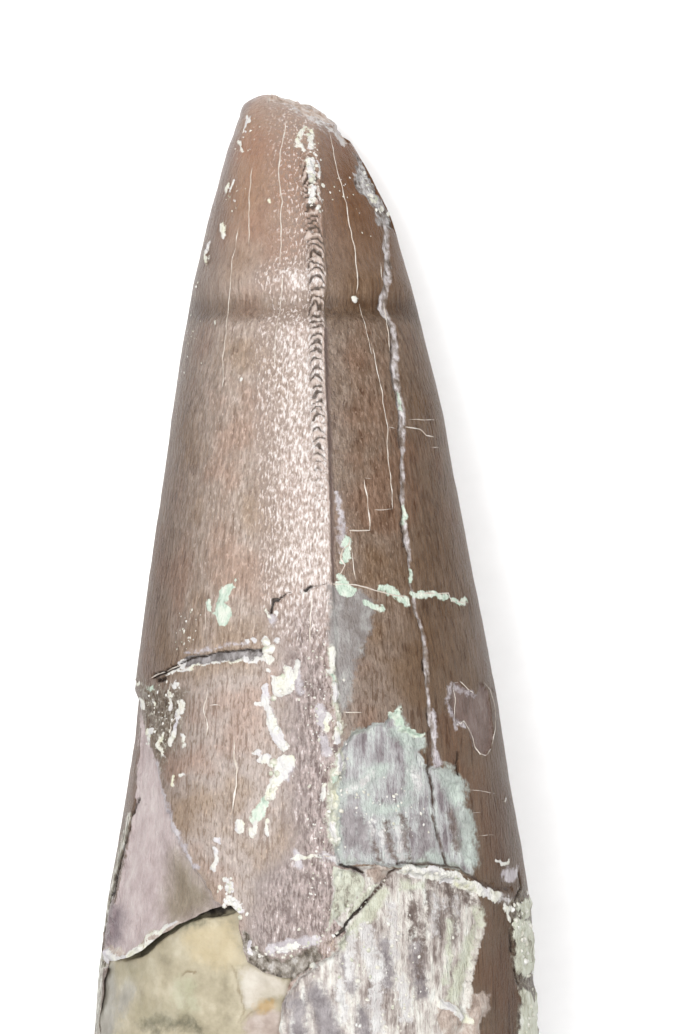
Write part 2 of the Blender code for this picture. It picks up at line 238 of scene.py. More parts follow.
# %% Dark strokes: a radius, then the points of a path
DARK = (
    (0.035, (-5.3, 20.63), (-4.77, 20.86), (-3.83, 21.1), (-2.81, 21.17), (-1.99, 21.22)),
    (0.07, (-5.5, 20.52), (-5.75, 20.4), (-6.4, 20.05)), (0.07, (-6.2, 19.95), (-5.95, 20.0)),
    (0.055, (-1.55, 23.26), (-1.53, 22.75)), (0.075, (-1.55, 23.23), (-1.34, 23.25)),
    (0.04, (-1.34, 23.25), (-1.03, 23.47)), (0.02, (-1.03, 23.47), (-0.87, 23.57), (-0.41, 23.56)),
    (0.07, (-0.2, 23.63), (0.03, 23.78)), (0.015, (0.07, 23.79), (0.78, 23.87)),
    (0.03, (-7.25, 15.1), (-7.54, 13.92)),
    (0.05, (-7.54, 13.92), (-7.79, 12.83), (-8.02, 11.63), (-8.26, 10.51), (-8.5, 9.48),
     (-8.64, 8.6)),
    (0.08, (2.4, 11.3), (1.98, 10.9), (1.52, 10.49), (1.05, 10.03)),
    (0.06, (1.21, 12.82), (1.67, 12.69), (2.27, 12.44)),
    (0.03, (8.44, 11.9), (8.5, 11.41), (8.22, 10.95)), (0.03, (8.02, 9.73), (8.13, 8.88)),
    (0.03, (8.29, 8.11), (8.49, 7.54)), (0.04, (5.93, 17.12), (5.97, 16.13)),
)
FRACTURE = (
    (0.04, (3.22, 34.1), (3.3, 33.3), (3.28, 32.6), (3.4, 31.7), (3.58, 30.6), (3.6, 29.4)),
    (0.035, (3.66, 27.4), (3.72, 26.3), (3.82, 25.4)),
    (0.06, (4.73, 17.92), (4.81, 16.57), (5.02, 15.83), (5.12, 14.58), (5.33, 13.53),
     (5.6, 12.53)),
    (0.05, (3.55, 12.77), (4.28, 12.75), (5.44, 12.57), (6.08, 12.39), (6.73, 11.93),
     (7.38, 11.5), (8.05, 11.4)),
    (0.08, (3.4, 12.5), (3.02, 11.96), (2.4, 11.3)),
)
FILL = (
    (0.19, (-5.0, 20.7), (-3.83, 20.9), (-2.81, 20.99), (-2.0, 21.08)),
    (0.1, (-5.6, 20.4), (-5.0, 20.68)),
)
LONG_CRACK = (
    (3.03, 38.61), (3.06, 37.71), (3.10, 37.0), (3.06, 36.32), (3.02, 35.6), (3.06, 35.15),
    (3.21, 34.74), (3.34, 34.16), (3.42, 33.5), (3.37, 32.84), (3.45, 32.19), (3.57, 31.62),
    (3.73, 30.68), (3.69, 30.23), (3.73, 29.25), (3.76, 28.12), (3.76, 27.23), (3.8, 26.42),
    (3.88, 25.82), (4.0, 25.01), (4.03, 23.89), (4.16, 23.53), (4.23, 22.81), (4.44, 22.08),
    (4.6, 21.4), (4.71, 20.52), (4.75, 19.6), (4.83, 18.52), (4.91, 17.8), (4.95, 16.97),
)
GRIT = (
    (0.3, (-8.75, 8.3), (-9.1, 5.0), (-9.6, 0.0)),
    (0.1, (-7.57, 14.36), (-7.98, 12.47), (-8.2, 11.09), (-8.56, 9.44)),
)
CRACK_STROKES = {"fill": FILL, "fracture": FRACTURE, "dark": DARK}
print("crack strokes:", {name: len(group) for name, group in CRACK_STROKES.items()})

# %% Pale and coloured strokes
HAZE = (
    (0.1, (-6.43, 16.5), (-6.08, 15.33), (-5.82, 14.55), (-5.44, 13.78), (-4.94, 12.89),
     (-4.57, 12.51)),
    (0.07, (5.66, 19.85), (5.66, 19.03), (5.85, 18.15), (6.05, 18.3), (6.3, 18.06)),
    (0.06, (5.7, 19.8), (6.3, 19.5), (6.7, 19.3)),
    (0.12, (-0.6, 20.6), (-0.5, 20.3), (-0.45, 19.6)), (0.1, (-1.7, 19.4), (-1.3, 18.2)),
    (0.05, (-5.0, 21.0), (-4.24, 21.2), (-3.4, 21.32), (-2.5, 21.38)),
    (0.13, (-1.55, 22.4), (-1.5, 22.6)),
    (0.12, (-0.7, 16.6), (-0.9, 16.1)), (0.2, (-1.6, 9.3), (0.3, 9.8)),
    (0.2, (0.35, 18.9), (0.5, 18.3)), (0.22, (0.55, 17.7), (0.7, 17.2)),
    (0.2, (7.88, 12.11), (8.23, 11.89)), (0.15, (0.5, 13.1), (1.0, 13.1)),
    (0.15, (-0.6, 13.3), (-0.5, 12.8)), (0.1, (1.1, 27.6), (1.25, 26.2), (1.3, 24.9)),
    (0.12, (4.94, 18.64), (4.97, 17.6), (5.08, 16.66)), (0.1, (7.83, 11.86), (8.2, 12.08)),
)
WHITE = (
    (0.08, (5.14, 11.39), (5.1, 9.85)), (0.06, (5.46, 11.26), (5.5, 10.74)),
    (0.06, (6.04, 11.22), (6.08, 10.62)), (0.08, (3.69, 14.23), (3.77, 12.92)),
    (0.06, (3.0, 14.1), (3.1, 13.1)), (0.06, (2.5, 14.6), (2.6, 13.9)),
    (0.12, (4.22, 16.32), (4.5, 15.79)), (0.1, (1.58, 15.69), (2.06, 15.93), (2.5, 16.24)),
    (0.14, (3.37, 11.11), (3.57, 8.92)), (0.3, (2.3, 10.2), (2.4, 9.4), (2.9, 8.4)),
    (0.2, (1.7, 9.8), (1.58, 8.18)), (0.17, (3.77, 8.12), (3.97, 6.52)),
    (0.16, (1.19, 7.99), (1.39, 6.6)), (0.25, (2.8, 7.9), (2.77, 6.17)),
    (0.1, (2.0, 41.0), (2.3, 40.3), (2.8, 39.4)), (0.07, (-1.3, 43.8), (-0.9, 43.65), (-0.6, 43.5)),
    (0.14, (0.7, 42.75), (1.1, 42.4), (1.4, 41.98)), (0.06, (-0.2, 43.3), (0.4, 43.0)),
    (0.06, (0.45, 13.1), (1.1, 13.1)), (0.09, (7.5, 11.2), (7.9, 10.9)),
)
# Painted shade at the lower left of the flake scar.
SPALL_SHADE = ((0.3, (-8.1, 9.4), (-7.95, 10.4)),)
CREAM = (
    (0.07, (-0.55, 41.88), (-0.43, 42.31), (-0.18, 42.58)), (0.1, (-0.02, 42.54), (-0.06, 41.75)),
    (0.07, (-0.51, 41.96), (-0.3, 41.62)), (0.15, (-0.09, 41.05), (-0.05, 40.4)),
    (0.05, (0.23, 41.03), (0.32, 40.4)), (0.13, (0.0, 39.9), (0.03, 39.3)),
    (0.06, (0.28, 39.73), (0.52, 39.35)), (0.08, (-3.17, 39.45)), (0.07, (-1.68, 39.39)),
    (0.1, (-3.77, 38.49), (-3.62, 38.05)), (0.07, (-2.81, 43.13), (-2.91, 42.26)),
    (0.07, (-2.63, 42.91), (-2.91, 42.26)), (0.07, (-3.24, 41.76), (-3.07, 41.57)),
    (0.07, (-3.56, 40.28), (-3.73, 39.88)), (0.07, (-3.31, 40.39), (-3.39, 40.06)),
    (0.07, (-4.31, 37.87), (-4.3, 37.15)), (0.12, (1.85, 35.52)), (0.07, (-2.87, 32.17)),
    (0.07, (-3.88, 34.62)), (0.19, (-1.77, 21.59)), (0.12, (-2.57, 21.47)),
    (0.12, (-2.29, 21.63)), (0.12, (-1.25, 21.64)), (0.11, (-1.54, 21.24)),
    (0.19, (-1.71, 20.86)), (0.1, (-1.74, 20.4)), (0.29, (-1.25, 19.97), (-1.05, 19.73)),
    (0.15, (-1.84, 19.73), (-1.74, 19.15)), (0.09, (-2.16, 19.11), (-1.84, 19.17)),
    (0.11, (-0.58, 20.84), (-0.65, 20.09)), (0.17, (-0.98, 20.53)),
    (0.14, (-1.72, 19.3), (-1.6, 18.9), (-1.53, 18.5)), (0.22, (-1.5, 18.4), (-1.36, 17.97)),
    (0.24, (-1.3, 17.85), (-1.11, 17.5)),
    (0.25, (-1.87, 16.91)), (0.15, (-2.16, 17.22)), (0.12, (-1.57, 16.65)),
    (0.36, (-0.97, 16.72), (-1.2, 16.3)), (0.21, (-1.3, 16.29), (-1.5, 15.81), (-1.56, 15.41)),
    (0.12, (-2.26, 14.43), (-2.33, 13.91)), (0.15, (-2.8, 14.28), (-2.79, 14.03)),
    (0.06, (-1.73, 14.5), (-1.76, 13.92)), (0.12, (-3.69, 13.67)),
    (0.11, (-3.86, 13.27), (-3.76, 12.81), (-3.86, 12.54)), (0.21, (-3.22, 11.32)),
    (0.19, (-2.89, 11.13)), (0.21, (-3.22, 11.77)), (0.12, (-3.35, 12.11)),
    (0.12, (-2.82, 10.94)), (0.08, (-3.62, 11.84)), (0.12, (-5.34, 18.61), (-5.26, 19.09)),
    (0.08, (-5.34, 18.61), (-5.62, 18.0), (-5.76, 17.39)), (0.07, (-5.24, 17.73), (-5.27, 17.28)),
    (0.08, (-6.1, 17.83), (-6.29, 17.36), (-6.04, 16.85)), (0.09, (-6.73, 17.84), (-6.84, 17.31)),
    (0.07, (-5.61, 16.13), (-5.61, 15.8)), (0.07, (-5.26, 16.22)),
    (0.07, (-5.7, 19.58), (-5.7, 18.78)), (0.12, (-5.43, 19.73)), (0.09, (-6.48, 19.0)),
    (0.15, (-7.03, 19.74)), (0.1, (-7.1, 19.0), (-7.0, 18.75)), (0.15, (-5.26, 20.59)),
    (0.12, (-4.87, 20.41)), (0.03, (-0.25, 23.54), (0.07, 23.57)),
    (0.05, (-5.9, 20.1), (-5.43, 20.3), (-4.88, 20.47), (-3.81, 20.67), (-2.96, 20.76),
     (-1.95, 20.87)),
    (0.08, (-1.65, 22.77), (-1.61, 22.57)), (0.08, (-1.32, 22.77)),
    (0.24, (-8.2, 8.62), (-7.95, 8.5)), (0.2, (-7.47, 8.5), (-7.19, 8.68), (-6.96, 8.8)),
    (0.12, (-6.8, 8.95), (-6.41, 9.3), (-6.0, 9.6)),
    (0.2, (3.7, 12.45), (4.17, 12.5), (5.02, 12.3), (5.86, 12.0), (6.62, 11.65), (7.16, 11.35),
     (7.4, 11.2)),
    (0.2, (5.43, 7.07), (5.86, 6.83), (6.29, 6.38)), (0.1, (7.75, 10.72), (8.0, 10.6)),
    (0.07, (7.46, 12.55), (7.84, 12.5)), (0.07, (7.9, 14.88)), (0.07, (7.7, 10.74), (8.18, 10.58)),
    (0.07, (7.83, 10.64), (7.96, 10.1)), (0.17, (0.08, 8.74)), (0.1, (-1.23, 9.33), (-0.44, 9.47)),
    (0.08, (-2.49, 9.7), (-2.43, 9.1)),
    (0.13, (-8.4, 8.5), (-7.6, 8.75), (-6.9, 9.15)),
    (0.08, (-6.9, 9.15), (-6.1, 10.05), (-5.5, 10.35)),
    (0.07, (-0.75, 13.1), (-0.2, 13.12)), (0.06, (-0.05, 13.1), (0.35, 13.12)),
    (0.1, (0.92, 21.3), (0.9, 20.5)), (0.12, (0.98, 19.9), (1.0, 19.3)),
    (0.1, (1.12, 18.3), (1.18, 17.6)), (0.14, (1.3, 17.0), (1.15, 16.4)),
    (0.1, (1.0, 15.6), (0.95, 15.0)), (0.12, (0.98, 14.4), (1.0, 13.7)),
    (0.09, (0.7, 18.6), (0.62, 18.1)), (0.11, (0.6, 15.9), (0.5, 15.4)),
)
MINT = (
    (0.08, (3.62, 31.5), (3.7, 30.9)), (0.07, (3.78, 26.9), (3.8, 26.3)),
    (0.08, (4.1, 24.4), (4.05, 24.0)),
    (0.09, (-4.1, 23.2), (-4.04, 22.8)),
    (0.08, (-2.92, 23.98)),
    (0.06, (0.87, 20.9), (0.95, 20.1), (1.0, 19.22)), (0.08, (1.2, 16.9), (1.0, 16.0)),
    (0.14, (3.26, 18.76), (3.5, 18.79), (3.58, 18.36)), (0.14, (3.74, 18.04), (4.38, 17.88)),
    (0.12, (3.15, 23.62), (3.59, 23.33)), (0.1, (2.82, 23.7), (3.91, 23.21)),
    (0.11, (4.16, 23.49), (5.55, 23.31)), (0.1, (5.88, 23.22), (6.39, 23.08)),
    (0.12, (2.22, 23.1), (2.9, 22.98)), (0.17, (1.42, 25.62), (1.34, 24.82)),
    (0.11, (1.18, 24.22), (1.42, 23.94)), (0.21, (1.18, 23.79), (1.66, 23.54)),
    (0.15, (-6.46, 19.55)),
)
TINGE = (
    (0.3, (3.6, 18.0), (4.0, 17.6), (4.3, 17.5)), (0.2, (4.16, 17.23), (4.1, 15.7)),
    (0.3, (5.48, 16.25), (5.84, 15.77), (5.96, 15.21)), (0.22, (6.29, 14.63), (6.49, 12.66)),
    (0.2, (5.02, 12.93), (5.49, 12.77)), (0.25, (1.4, 15.7), (2.1, 15.9), (2.9, 16.5)),
    (0.2, (2.4, 15.1), (3.1, 14.9), (4.1, 15.2)), (0.18, (1.25, 16.8), (1.1, 15.0), (1.2, 13.2)),
)
LIME = (
    (0.1, (0.87, 21.26), (0.87, 20.73), (1.0, 20.07), (1.0, 19.22), (1.15, 18.56), (1.2, 17.91)),
    (0.2, (1.31, 17.09), (1.07, 16.29), (0.91, 15.58), (0.95, 14.71), (0.99, 13.68)),
    (0.3, (1.4, 9.7), (2.2, 10.5), (3.0, 11.5)), (0.15, (3.9, 11.9), (4.6, 11.9)),
    (0.1, (6.83, 10.82), (6.88, 10.19), (6.6, 9.7)), (0.2, (6.55, 9.6), (6.4, 8.9), (6.25, 8.2)),
    (0.25, (6.2, 8.3), (6.05, 7.6), (5.86, 6.94)), (0.12, (5.7, 10.3), (5.75, 9.0), (5.6, 8.0)),
)
BROWN = (
    (0.12, (3.97, 12.32), (4.29, 11.71)), (0.16, (4.98, 12.04), (4.94, 10.69)),
    (0.18, (5.59, 11.77), (5.91, 11.19), (5.83, 9.6)), (0.15, (6.16, 11.73), (6.65, 10.97)),
    (0.08, (2.58, 14.14), (2.78, 12.95)), (0.12, (3.1, 14.37), (3.49, 12.93)),
    (0.1, (3.78, 14.62), (4.05, 12.91)), (0.12, (4.29, 11.08), (4.21, 9.69)),
    (0.14, (4.7, 10.26), (4.53, 8.28)), (0.12, (5.18, 11.23), (5.3, 9.83)),
    (0.15, (5.8, 14.7), (6.08, 13.17)),
)
LILAC = (
    (0.3, (4.7, 14.35), (4.78, 13.0)), (0.4, (1.5, 14.6), (1.7, 13.7)),
    (0.29, (2.06, 14.42), (2.22, 13.51)), (0.3, (1.39, 8.98), (1.66, 7.98)),
    (0.45, (0.3, 7.6), (0.8, 6.0), (0.6, 4.0)), (0.3, (-0.6, 7.2), (-0.5, 5.5)),
    (0.3, (3.1, 9.6), (3.2, 8.0)), (0.25, (4.4, 9.4), (4.6, 7.6)), (0.3, (2.2, 6.9), (2.3, 5.6)),
)
STROKES = {
    "brown": BROWN, "tinge": TINGE, "lime": LIME, "spall_shade": SPALL_SHADE, "lilac": LILAC, "haze": HAZE,
    "white": WHITE, "mint": MINT, "cream": CREAM,
}
print("strokes:", {name: len(group) for name, group in STROKES.items()})


# %% Distances to outlines and strokes
def segment_distance(x, y, start, end):
    """Distance from points to a straight piece of a path."""
    along = np.subtract(end, start)
    length = max(along @ along, 1e-9)
    part = np.clip(((x - start[0]) * along[0] + (y - start[1]) * along[1]) / length, 0, 1)
    return np.hypot(x - start[0] - part * along[0], y - start[1] - part * along[1])


def path_distance(path, x, y):
    """Distance from points to a path, which may be a single point."""
    pieces = list(zip(path, path[1:])) or [(path[0], path[0])]
    return np.min([segment_distance(x, y, *piece) for piece in pieces], axis=0)


def inside(outline, x, y):
    """Distance in from an outline's edge, negative outside it."""
    odd = np.zeros(x.shape, dtype=bool)
    for (ax, ay), (bx, by) in zip(outline, (*outline[1:], outline[0])):
        if ay != by:
            odd ^= ((ay > y) != (by > y)) & (x < ax + (y - ay) / (by - ay) * (bx - ax))
    edge = path_distance((*outline, outline[0]), x, y)
    return np.where(odd, edge, -edge)


def within(strokes, x, y):
    """Distance in from the edge of the nearest stroke of a group, negative outside it."""
    return np.max([radius - path_distance(path, x, y) for radius, *path in strokes], axis=0)


def rough(points, size, octaves=3):
    """Natural unevenness, from about -1 to 1, whose lumps have a size in millimetres."""
    scaled = points / size
    return np.array([noise.fractal(point, 1.0, 2.0, octaves) for point in scaled])


def smooth(low, high, value):
    """0 below low, 1 above high and a soft step between."""
    part = np.clip((value - low) / (high - low), 0, 1)
    return part * part * (3 - 2 * part)


print("depth in the lost wall, in mm:", inside(LOST_WALL, np.array([-5.0]), np.array([5.0])))


# %% [markdown]
# ## A sheet that rolls up into the tooth
#
# A flat grid of squares is easy to make finer only where it matters. So the skin starts flat:
# its x runs round the tooth and its y runs up the wall of the pulp cavity, over the broken rim
# and along the outside to the tip. Squares near damage are split in four, twice at the sharp
# edges. Then every corner gets its place in space and the seam and both poles are merged.

# %% Sheet to skin
COLUMNS = 128
CAVITY_ROW, RIM_ROW, ROWS = 24, 28, 204  # cavity wall, then rim, then outside up to the tip
SHAFT_SHARE = 0.86  # of the outside's rows lie below the rounded tip
TOP_SHARE = 0.62  # below 1 crowds the columns on the upper face
WALL = 0.6
CAVITY_LENGTH = 22.0
CAVITY_POWER = 3
BREAK_REACH = 4.0
BREAK_DEPTH = 0.45
MERGE_DISTANCE = 1e-4


def cavity_inset(y):
    """Thickness of the wall round the pulp cavity, which closes at the cavity's end."""
    part = np.clip(y / CAVITY_LENGTH, 0, 1)
    return WALL + (half_width(y) - WALL) * (1 - np.sqrt(1 - part**CAVITY_POWER))


def break_edge(y, angle):
    """How far the uneven break moves points near the base."""
    waves = 0.6 * np.sin(2 * angle + 1) + 0.4 * np.sin(5 * angle)
    return BREAK_DEPTH * np.maximum(0, 1 - y / BREAK_REACH) * waves


def crown_place(u, v):
    """Places on the crown, from the end of its cavity round the rim to its tip."""
    row = (v + 1) / 2 * ROWS
    angle = math.pi / 2 + math.pi * (TOP_SHARE * u + (1 - TOP_SHARE) * u**3)
    share = np.clip((row - RIM_ROW) / (ROWS - RIM_ROW), 0, 1)
    shaft = TIP_START * np.minimum(share / SHAFT_SHARE, 1)
    over = np.clip((share - SHAFT_SHARE) / (1 - SHAFT_SHARE), 0, 1)
    outside = shaft + (CROWN_LENGTH - TIP_START) * np.sin(math.pi / 2 * over)
    hollow = CAVITY_LENGTH * np.cos(math.pi / 2 * np.minimum(row / CAVITY_ROW, 1))
    y = np.where(row >= RIM_ROW, outside, hollow)
    rim = np.clip((RIM_ROW - row) / (RIM_ROW - CAVITY_ROW), 0, 1)
    place = crown_point(y, angle, np.where(row >= RIM_ROW, 0, cavity_inset(y) * rim))
    place[:, 1] += break_edge(y, angle)
    closed = row < 0.01
    x, z = middle(np.full(closed.sum(), CAVITY_LENGTH))
    place[closed] = np.column_stack((x, np.full(closed.sum(), CAVITY_LENGTH), z))
    return place


def sheet(columns, rows):
    """A flat grid of squares from -1 to 1."""
    flat = bmesh.new()
    bmesh.ops.create_grid(flat, x_segments=columns, y_segments=rows, size=1.0)
    return flat


def refine(flat, place, wanted):
    """Splits the squares whose middles, once placed, are wanted finer."""
    middles = np.array([face.calc_center_median()[:2] for face in flat.faces])
    hits = wanted(place(*middles.T))
    edges = {edge for face, hit in zip(flat.faces, hits) if hit for edge in face.edges}
    bmesh.ops.subdivide_edges(flat, edges=list(edges), cuts=1, use_grid_fill=True)


def close_up(flat):
    """Merges the seam and the poles of a rolled sheet, and turns its faces outwards."""
    bmesh.ops.remove_doubles(flat, verts=flat.verts, dist=MERGE_DISTANCE)
    bmesh.ops.recalc_face_normals(flat, faces=flat.faces)
    flat.normal_update()


def roll_up(flat, place):
    """Puts a sheet's corners in space, and closes it."""
    corners = np.array([vert.co[:2] for vert in flat.verts])
    for vert, point in zip(flat.verts, place(*corners.T)):
        vert.co = point
    close_up(flat)


print("wall at 0, 10, 20 mm:", cavity_inset(np.array([0.0, 10.0, 20.0])).round(2), "mm thick")

# %% How fine the crown's sheet is
UPPER = 0.8  # damage is drawn above this height, and dies out below it
CLOSED_TIP = 42.5  # from here to the tip there is no inside
FAR = 9.0
CLOSE_TO_DAMAGE, AT_DAMAGE = 0.45, 0.16  # squares nearer than this are split once, twice
BREAKS = (LOST_WALL, SPALL, UPPER_DENTINE, LOWER_DENTINE, FLANK_PATCH, TIP_CHIP, TIP_WEAR)


def on_outside(points):
    """1 on the outside of the crown, 0 inside its cavity."""
    x, y, z = points.T
    mx, mz = middle(y)
    width = np.maximum(half_width(y), 0.3)
    ratio = np.hypot((x - mx) / width, (z - mz) / (DEPTH_RATIO * width))
    return np.maximum(smooth(0.965, 0.985, ratio), y > CLOSED_TIP)


def near_damage(points):
    """Distance to the nearest sharp edge of the damage, large away from the upper face."""
    x, y, z = points.T
    edges = [np.abs(inside(outline, x, y)) for outline in BREAKS]
    edges += [np.maximum(0, -within(group, x, y)) for group in (DARK, CREAM, MINT)]
    edges += [path_distance(LONG_CRACK, x, y)]
    edges += [np.where((y > 23) & (y < 42), np.abs(x - through(CARINA_X, y) + 0.1) - 0.4, FAR)]
    nearest = np.min(edges, axis=0)
    return np.where((z > UPPER - 0.5) & (on_outside(points) > 0.5), nearest, FAR)


def in_rough_areas(points):
    """True inside the broken areas and on the rough part of the carina."""
    x, y, z = points.T
    areas = [inside(outline, x, y) for outline in BREAKS]
    areas += [1.6 - np.abs(x - through(CARINA_X, y) + 0.4) - FAR * (y > 30)]
    return (np.max(areas, axis=0) > 0) & (z > UPPER) & (on_outside(points) > 0.5)


crown_mesh = sheet(COLUMNS, ROWS)
refine(
    crown_mesh, crown_place, lambda at: (near_damage(at) < CLOSE_TO_DAMAGE) | in_rough_areas(at)
)
refine(crown_mesh, crown_place, lambda at: near_damage(at) < AT_DAMAGE)
roll_up(crown_mesh, crown_place)
print("crown skin:", len(crown_mesh.verts), "corners,", len(crown_mesh.faces), "faces")

# %% [markdown]
# ## Relief: growth band, carina, flakes and cracks
#
# The corners now move along their normals. Enamel is smooth with faint swellings; the carina
# carries a row of arched denticles about three to the millimetre; where enamel has flaked off,
# the surface steps down to rough dentine; crusts stand a few hundredths proud. Depth maps
# could do this too, but moving real corners keeps the shape when the mesh is used elsewhere.

# %% The keel and the worn outline
BAND, HOLLOW = 36.2, 35.1
BAND_HEIGHT, HOLLOW_DEPTH, BAND_SPREAD = 0.13, 0.26, 0.5
DENTICLE_PITCH = 1 / 3
DENTICLE_HEIGHT = 0.12
DENTICLE_MIDDLE = -0.29  # to the left of the keel's sharp edge
DENTICLE_ARCH = 0.8  # how far the ends of a denticle hang back, in pitches
PLATEAU_HEIGHT, PLATEAU_SPREAD = 0.14, 0.9
KEEL_SHIFT = ((24, -0.03), (26, 0.02), (30, 0.08), (33.5, 0.12), (36, 0.27), (42, 0.25))
LEFT_TRIM = (
    (0, 0), (5, 0), (8, -0.12), (10.5, -0.12), (12.5, 0), (14.5, 0.1), (17.5, 0.2), (19, 0.12),
    (19.4, -0.1), (20.5, -0.14), (29, -0.17), (33, -0.2), (36.3, -0.12), (37.5, 0), (38.8, 0.14),
    (39.5, 0.25), (40.2, 0.38), (41.1, 0.46), (42.5, 0.5), (43.2, 0.35), (43.8, 0.0),
)
RIGHT_TRIM = (
    (0, 0), (5, 0), (8, 0.05), (10, 0.2), (13, 0.1), (16, 0), (24, -0.08), (28.5, 0), (31, 0.1),
    (34, 0.12), (37.5, 0.15), (39, 0.18), (40.2, 0.05), (41.5, 0), (43, 0.1), (43.8, 0),
)


def keel_side(points):
    """How far to the right of the keel's sharp edge points lie."""
    x, y, _ = points.T
    return x - through(CARINA_X, y) - np.interp(y, *zip(*KEEL_SHIFT))


def trimmed(points):
    """Points moved sideways, so that both edges follow the worn outline of this tooth."""
    x, y, _ = points.T
    part = (x - middle(y)[0]) / np.maximum(half_width(y), 0.5)
    left, right = (np.interp(y, *zip(*trim)) for trim in (LEFT_TRIM, RIGHT_TRIM))
    shift = np.where(part < 0, left, right) * np.clip(np.abs(part), 0, 1) ** 3
    return points + np.column_stack((shift, 0 * y, 0 * y))


def carina_relief(points):
    """Height of the keel and its arched denticles, with a sheer drop on the right."""
    y = points[:, 1]
    side = keel_side(points) + 0.03 * rough(points, 0.5)
    rise = np.exp(-((np.minimum(side, 0) / PLATEAU_SPREAD) ** 2)) * smooth(0.2, 0.04, side)
    fresh = smooth(9.0, 20.0, y) * (1 - smooth(40.0, 42.5, y))
    arch = DENTICLE_ARCH * np.minimum(((side + 0.27) / 0.34) ** 2, 2)
    phase = y / DENTICLE_PITCH + arch + 0.9 * rough(points, 0.7) + 0.3 * rough(points, 0.25)
    tooth = 0.5 + 0.5 * np.cos(math.tau * phase)
    width = 0.31 + 0.1 * smooth(32, 37, y)
    crisp = np.exp(-(((side - DENTICLE_MIDDLE + 0.1 * rough(points, 0.5)) / width) ** 4))
    crisp *= (0.05 + 0.95 * smooth(23.5, 31.0, y)) * (1 - smooth(40.5, 42.5, y))
    denticle = tooth * crisp * (1 + 0.6 * rough(points, 0.6))
    height = PLATEAU_HEIGHT * rise * fresh + DENTICLE_HEIGHT * denticle
    # The other two are masks for a painted highlight on the denticles and painted shade between
    # them.
    return height, denticle, (1 - tooth) * crisp


def highlight_and_strip(points):
    """Painted highlight left of the keel and on the band's hump, and the worn low rough strip."""
    x, y, _ = points.T
    side = keel_side(points)
    bright = smooth(-3.6, -0.7, side) * smooth(0.15, -0.05, side)
    bright *= smooth(20, 24, y) * (1 - 0.75 * smooth(33.5, 35.5, y)) + 0.8 * np.exp(
        -(((y - BAND) / 0.5) ** 2)
    )
    strip = smooth(-2.6, -0.9, side + 0.5 * rough(points, 0.8)) * smooth(0.3, 0.1, side)
    strip *= smooth(24.5, 20, y)
    strip = np.maximum(strip, 0.8 * smooth(0, 0.8, inside(BRUISE, x, y)))
    return np.clip(bright, 0, 1), strip


sample = np.array([[through(CARINA_X, 30.0), 30.0, 8.0]])
print("side of the keel at 30 mm:", keel_side(sample).round(2), "mm")

# %% Marks: every kind of damage and crust, and lines of painted shade and highlight
CRACK_WIDTH = ((17, 0.08), (23, 0.05), (27, 0.07), (31, 0.12), (37, 0.14))
CRACK_SHADE = 0.13  # the crack's dark line lies this far to its left
KEEL_LINES = (23.9, 34.2)  # where two fine lines follow the keel


def shaken(points):
    """x and y of points moved about a little, so that no line drawn with them runs smooth."""
    x, y, z = points.T
    far, near = points + 40, points + 80
    down = smooth(4.5, 1.5, z)  # a line drawn from above would run straight down the sides
    return (
        x + 0.16 * rough(points, 0.9) + 0.07 * rough(far, 0.25),
        y + (0.16 + 0.5 * down) * rough(near, 0.9) + 0.07 * rough(-far, 0.25),
    )


def crown_marks(points):
    """Distances in from the edges of damage, crusts and the painted shade and highlight lines."""
    x, y, _ = points.T
    wx, wy = shaken(points)
    half = (x + wx) / 2, (y + wy) / 2
    marks = {name: inside(outline, wx, wy) for name, outline in AREAS.items()}
    marks |= {name: within(strokes, wx, wy) for name, strokes in STROKES.items()}
    marks |= {name: within(strokes, *half) for name, strokes in CRACK_STROKES.items()}
    for name, outlines in CRUSTS.items():
        crust = np.max([inside(outline, wx, wy) for outline in outlines], axis=0)
        marks[name] = np.maximum(marks.get(name, crust), crust)
    marks["plate"] -= 0.04
    marks["grit"] = within(GRIT, x, y)
    uneven = rough(points, 1.2)
    marks["margin"] = 0.02 + 0.25 * uneven - np.abs(marks["upper_dentine"] - 0.08)
    crack_width = np.interp(y, *zip(*CRACK_WIDTH)) + 0.05 * uneven
    marks["crack"] = crack_width - path_distance(LONG_CRACK, *half)
    # A dark line just left of the long crack is painted shadow along its edge, also cut as a
    # groove.
    left_of_crack = [(px - CRACK_SHADE, py) for px, py in LONG_CRACK]
    shade = 0.08 * uneven - path_distance(left_of_crack, *half)
    marks["dark"] = np.maximum(marks["dark"], shade)
    side = keel_side(points)
    # Two lines along the keel: painted shade down its sheer right drop, a painted highlight on its
    # edge.
    beside_keel = np.minimum(y - KEEL_LINES[0], KEEL_LINES[1] - y)
    marks["seam"] = np.minimum(0.11 + 0.05 * uneven - np.abs(side - 0.14), beside_keel)
    marks["crest"] = np.minimum(0.02 + 0.02 * uneven - np.abs(side), beside_keel)
    return marks


print("marks:", len(crown_marks(sample)))

# %% Relief in millimetres
STEPS = (  # mark, where its edge begins and ends, height, then how rough: fine and tiny
    ("spall", 0, 0.1, -0.12, 0, 0), ("spall", 0, 1.5, -0.22, 0, 0),
    ("patch", 0, 0.06, -0.1, 0, 0), ("wear", 0, 0.2, -0.14, -0.05, 0),
    ("chip", 0, 0.2, -0.1, -0.12, 0), ("scab", 0, 0.2, 0, 0.06, 0.04),
    ("face", 0, 0.12, -0.14, -0.05, 0), ("fill", -0.02, 0.06, -0.08, 0, 0),
    ("dark", -0.03, 0.05, -0.14, 0, 0), ("fracture", -0.05, 0.05, -0.1, 0, 0),
    ("knob", 0, 0.35, 0.2, 0.05, 0), ("plate_bed", -0.05, 0.1, 0, 0.04, 0),
    ("crack", -0.02, 0.05, -0.08, 0.06, 0), ("cream", -0.05, 0.1, 0.06, 0.07, 0.02),
    ("plate", -0.05, 0.1, 0.1, 0.04, 0.02), ("mint", -0.05, 0.08, 0.025, 0.05, 0.03),
)
SKIN_SINK, RIM_SINK = 0.045, 0.075  # keeps the raised crusts and the rim inside the solids


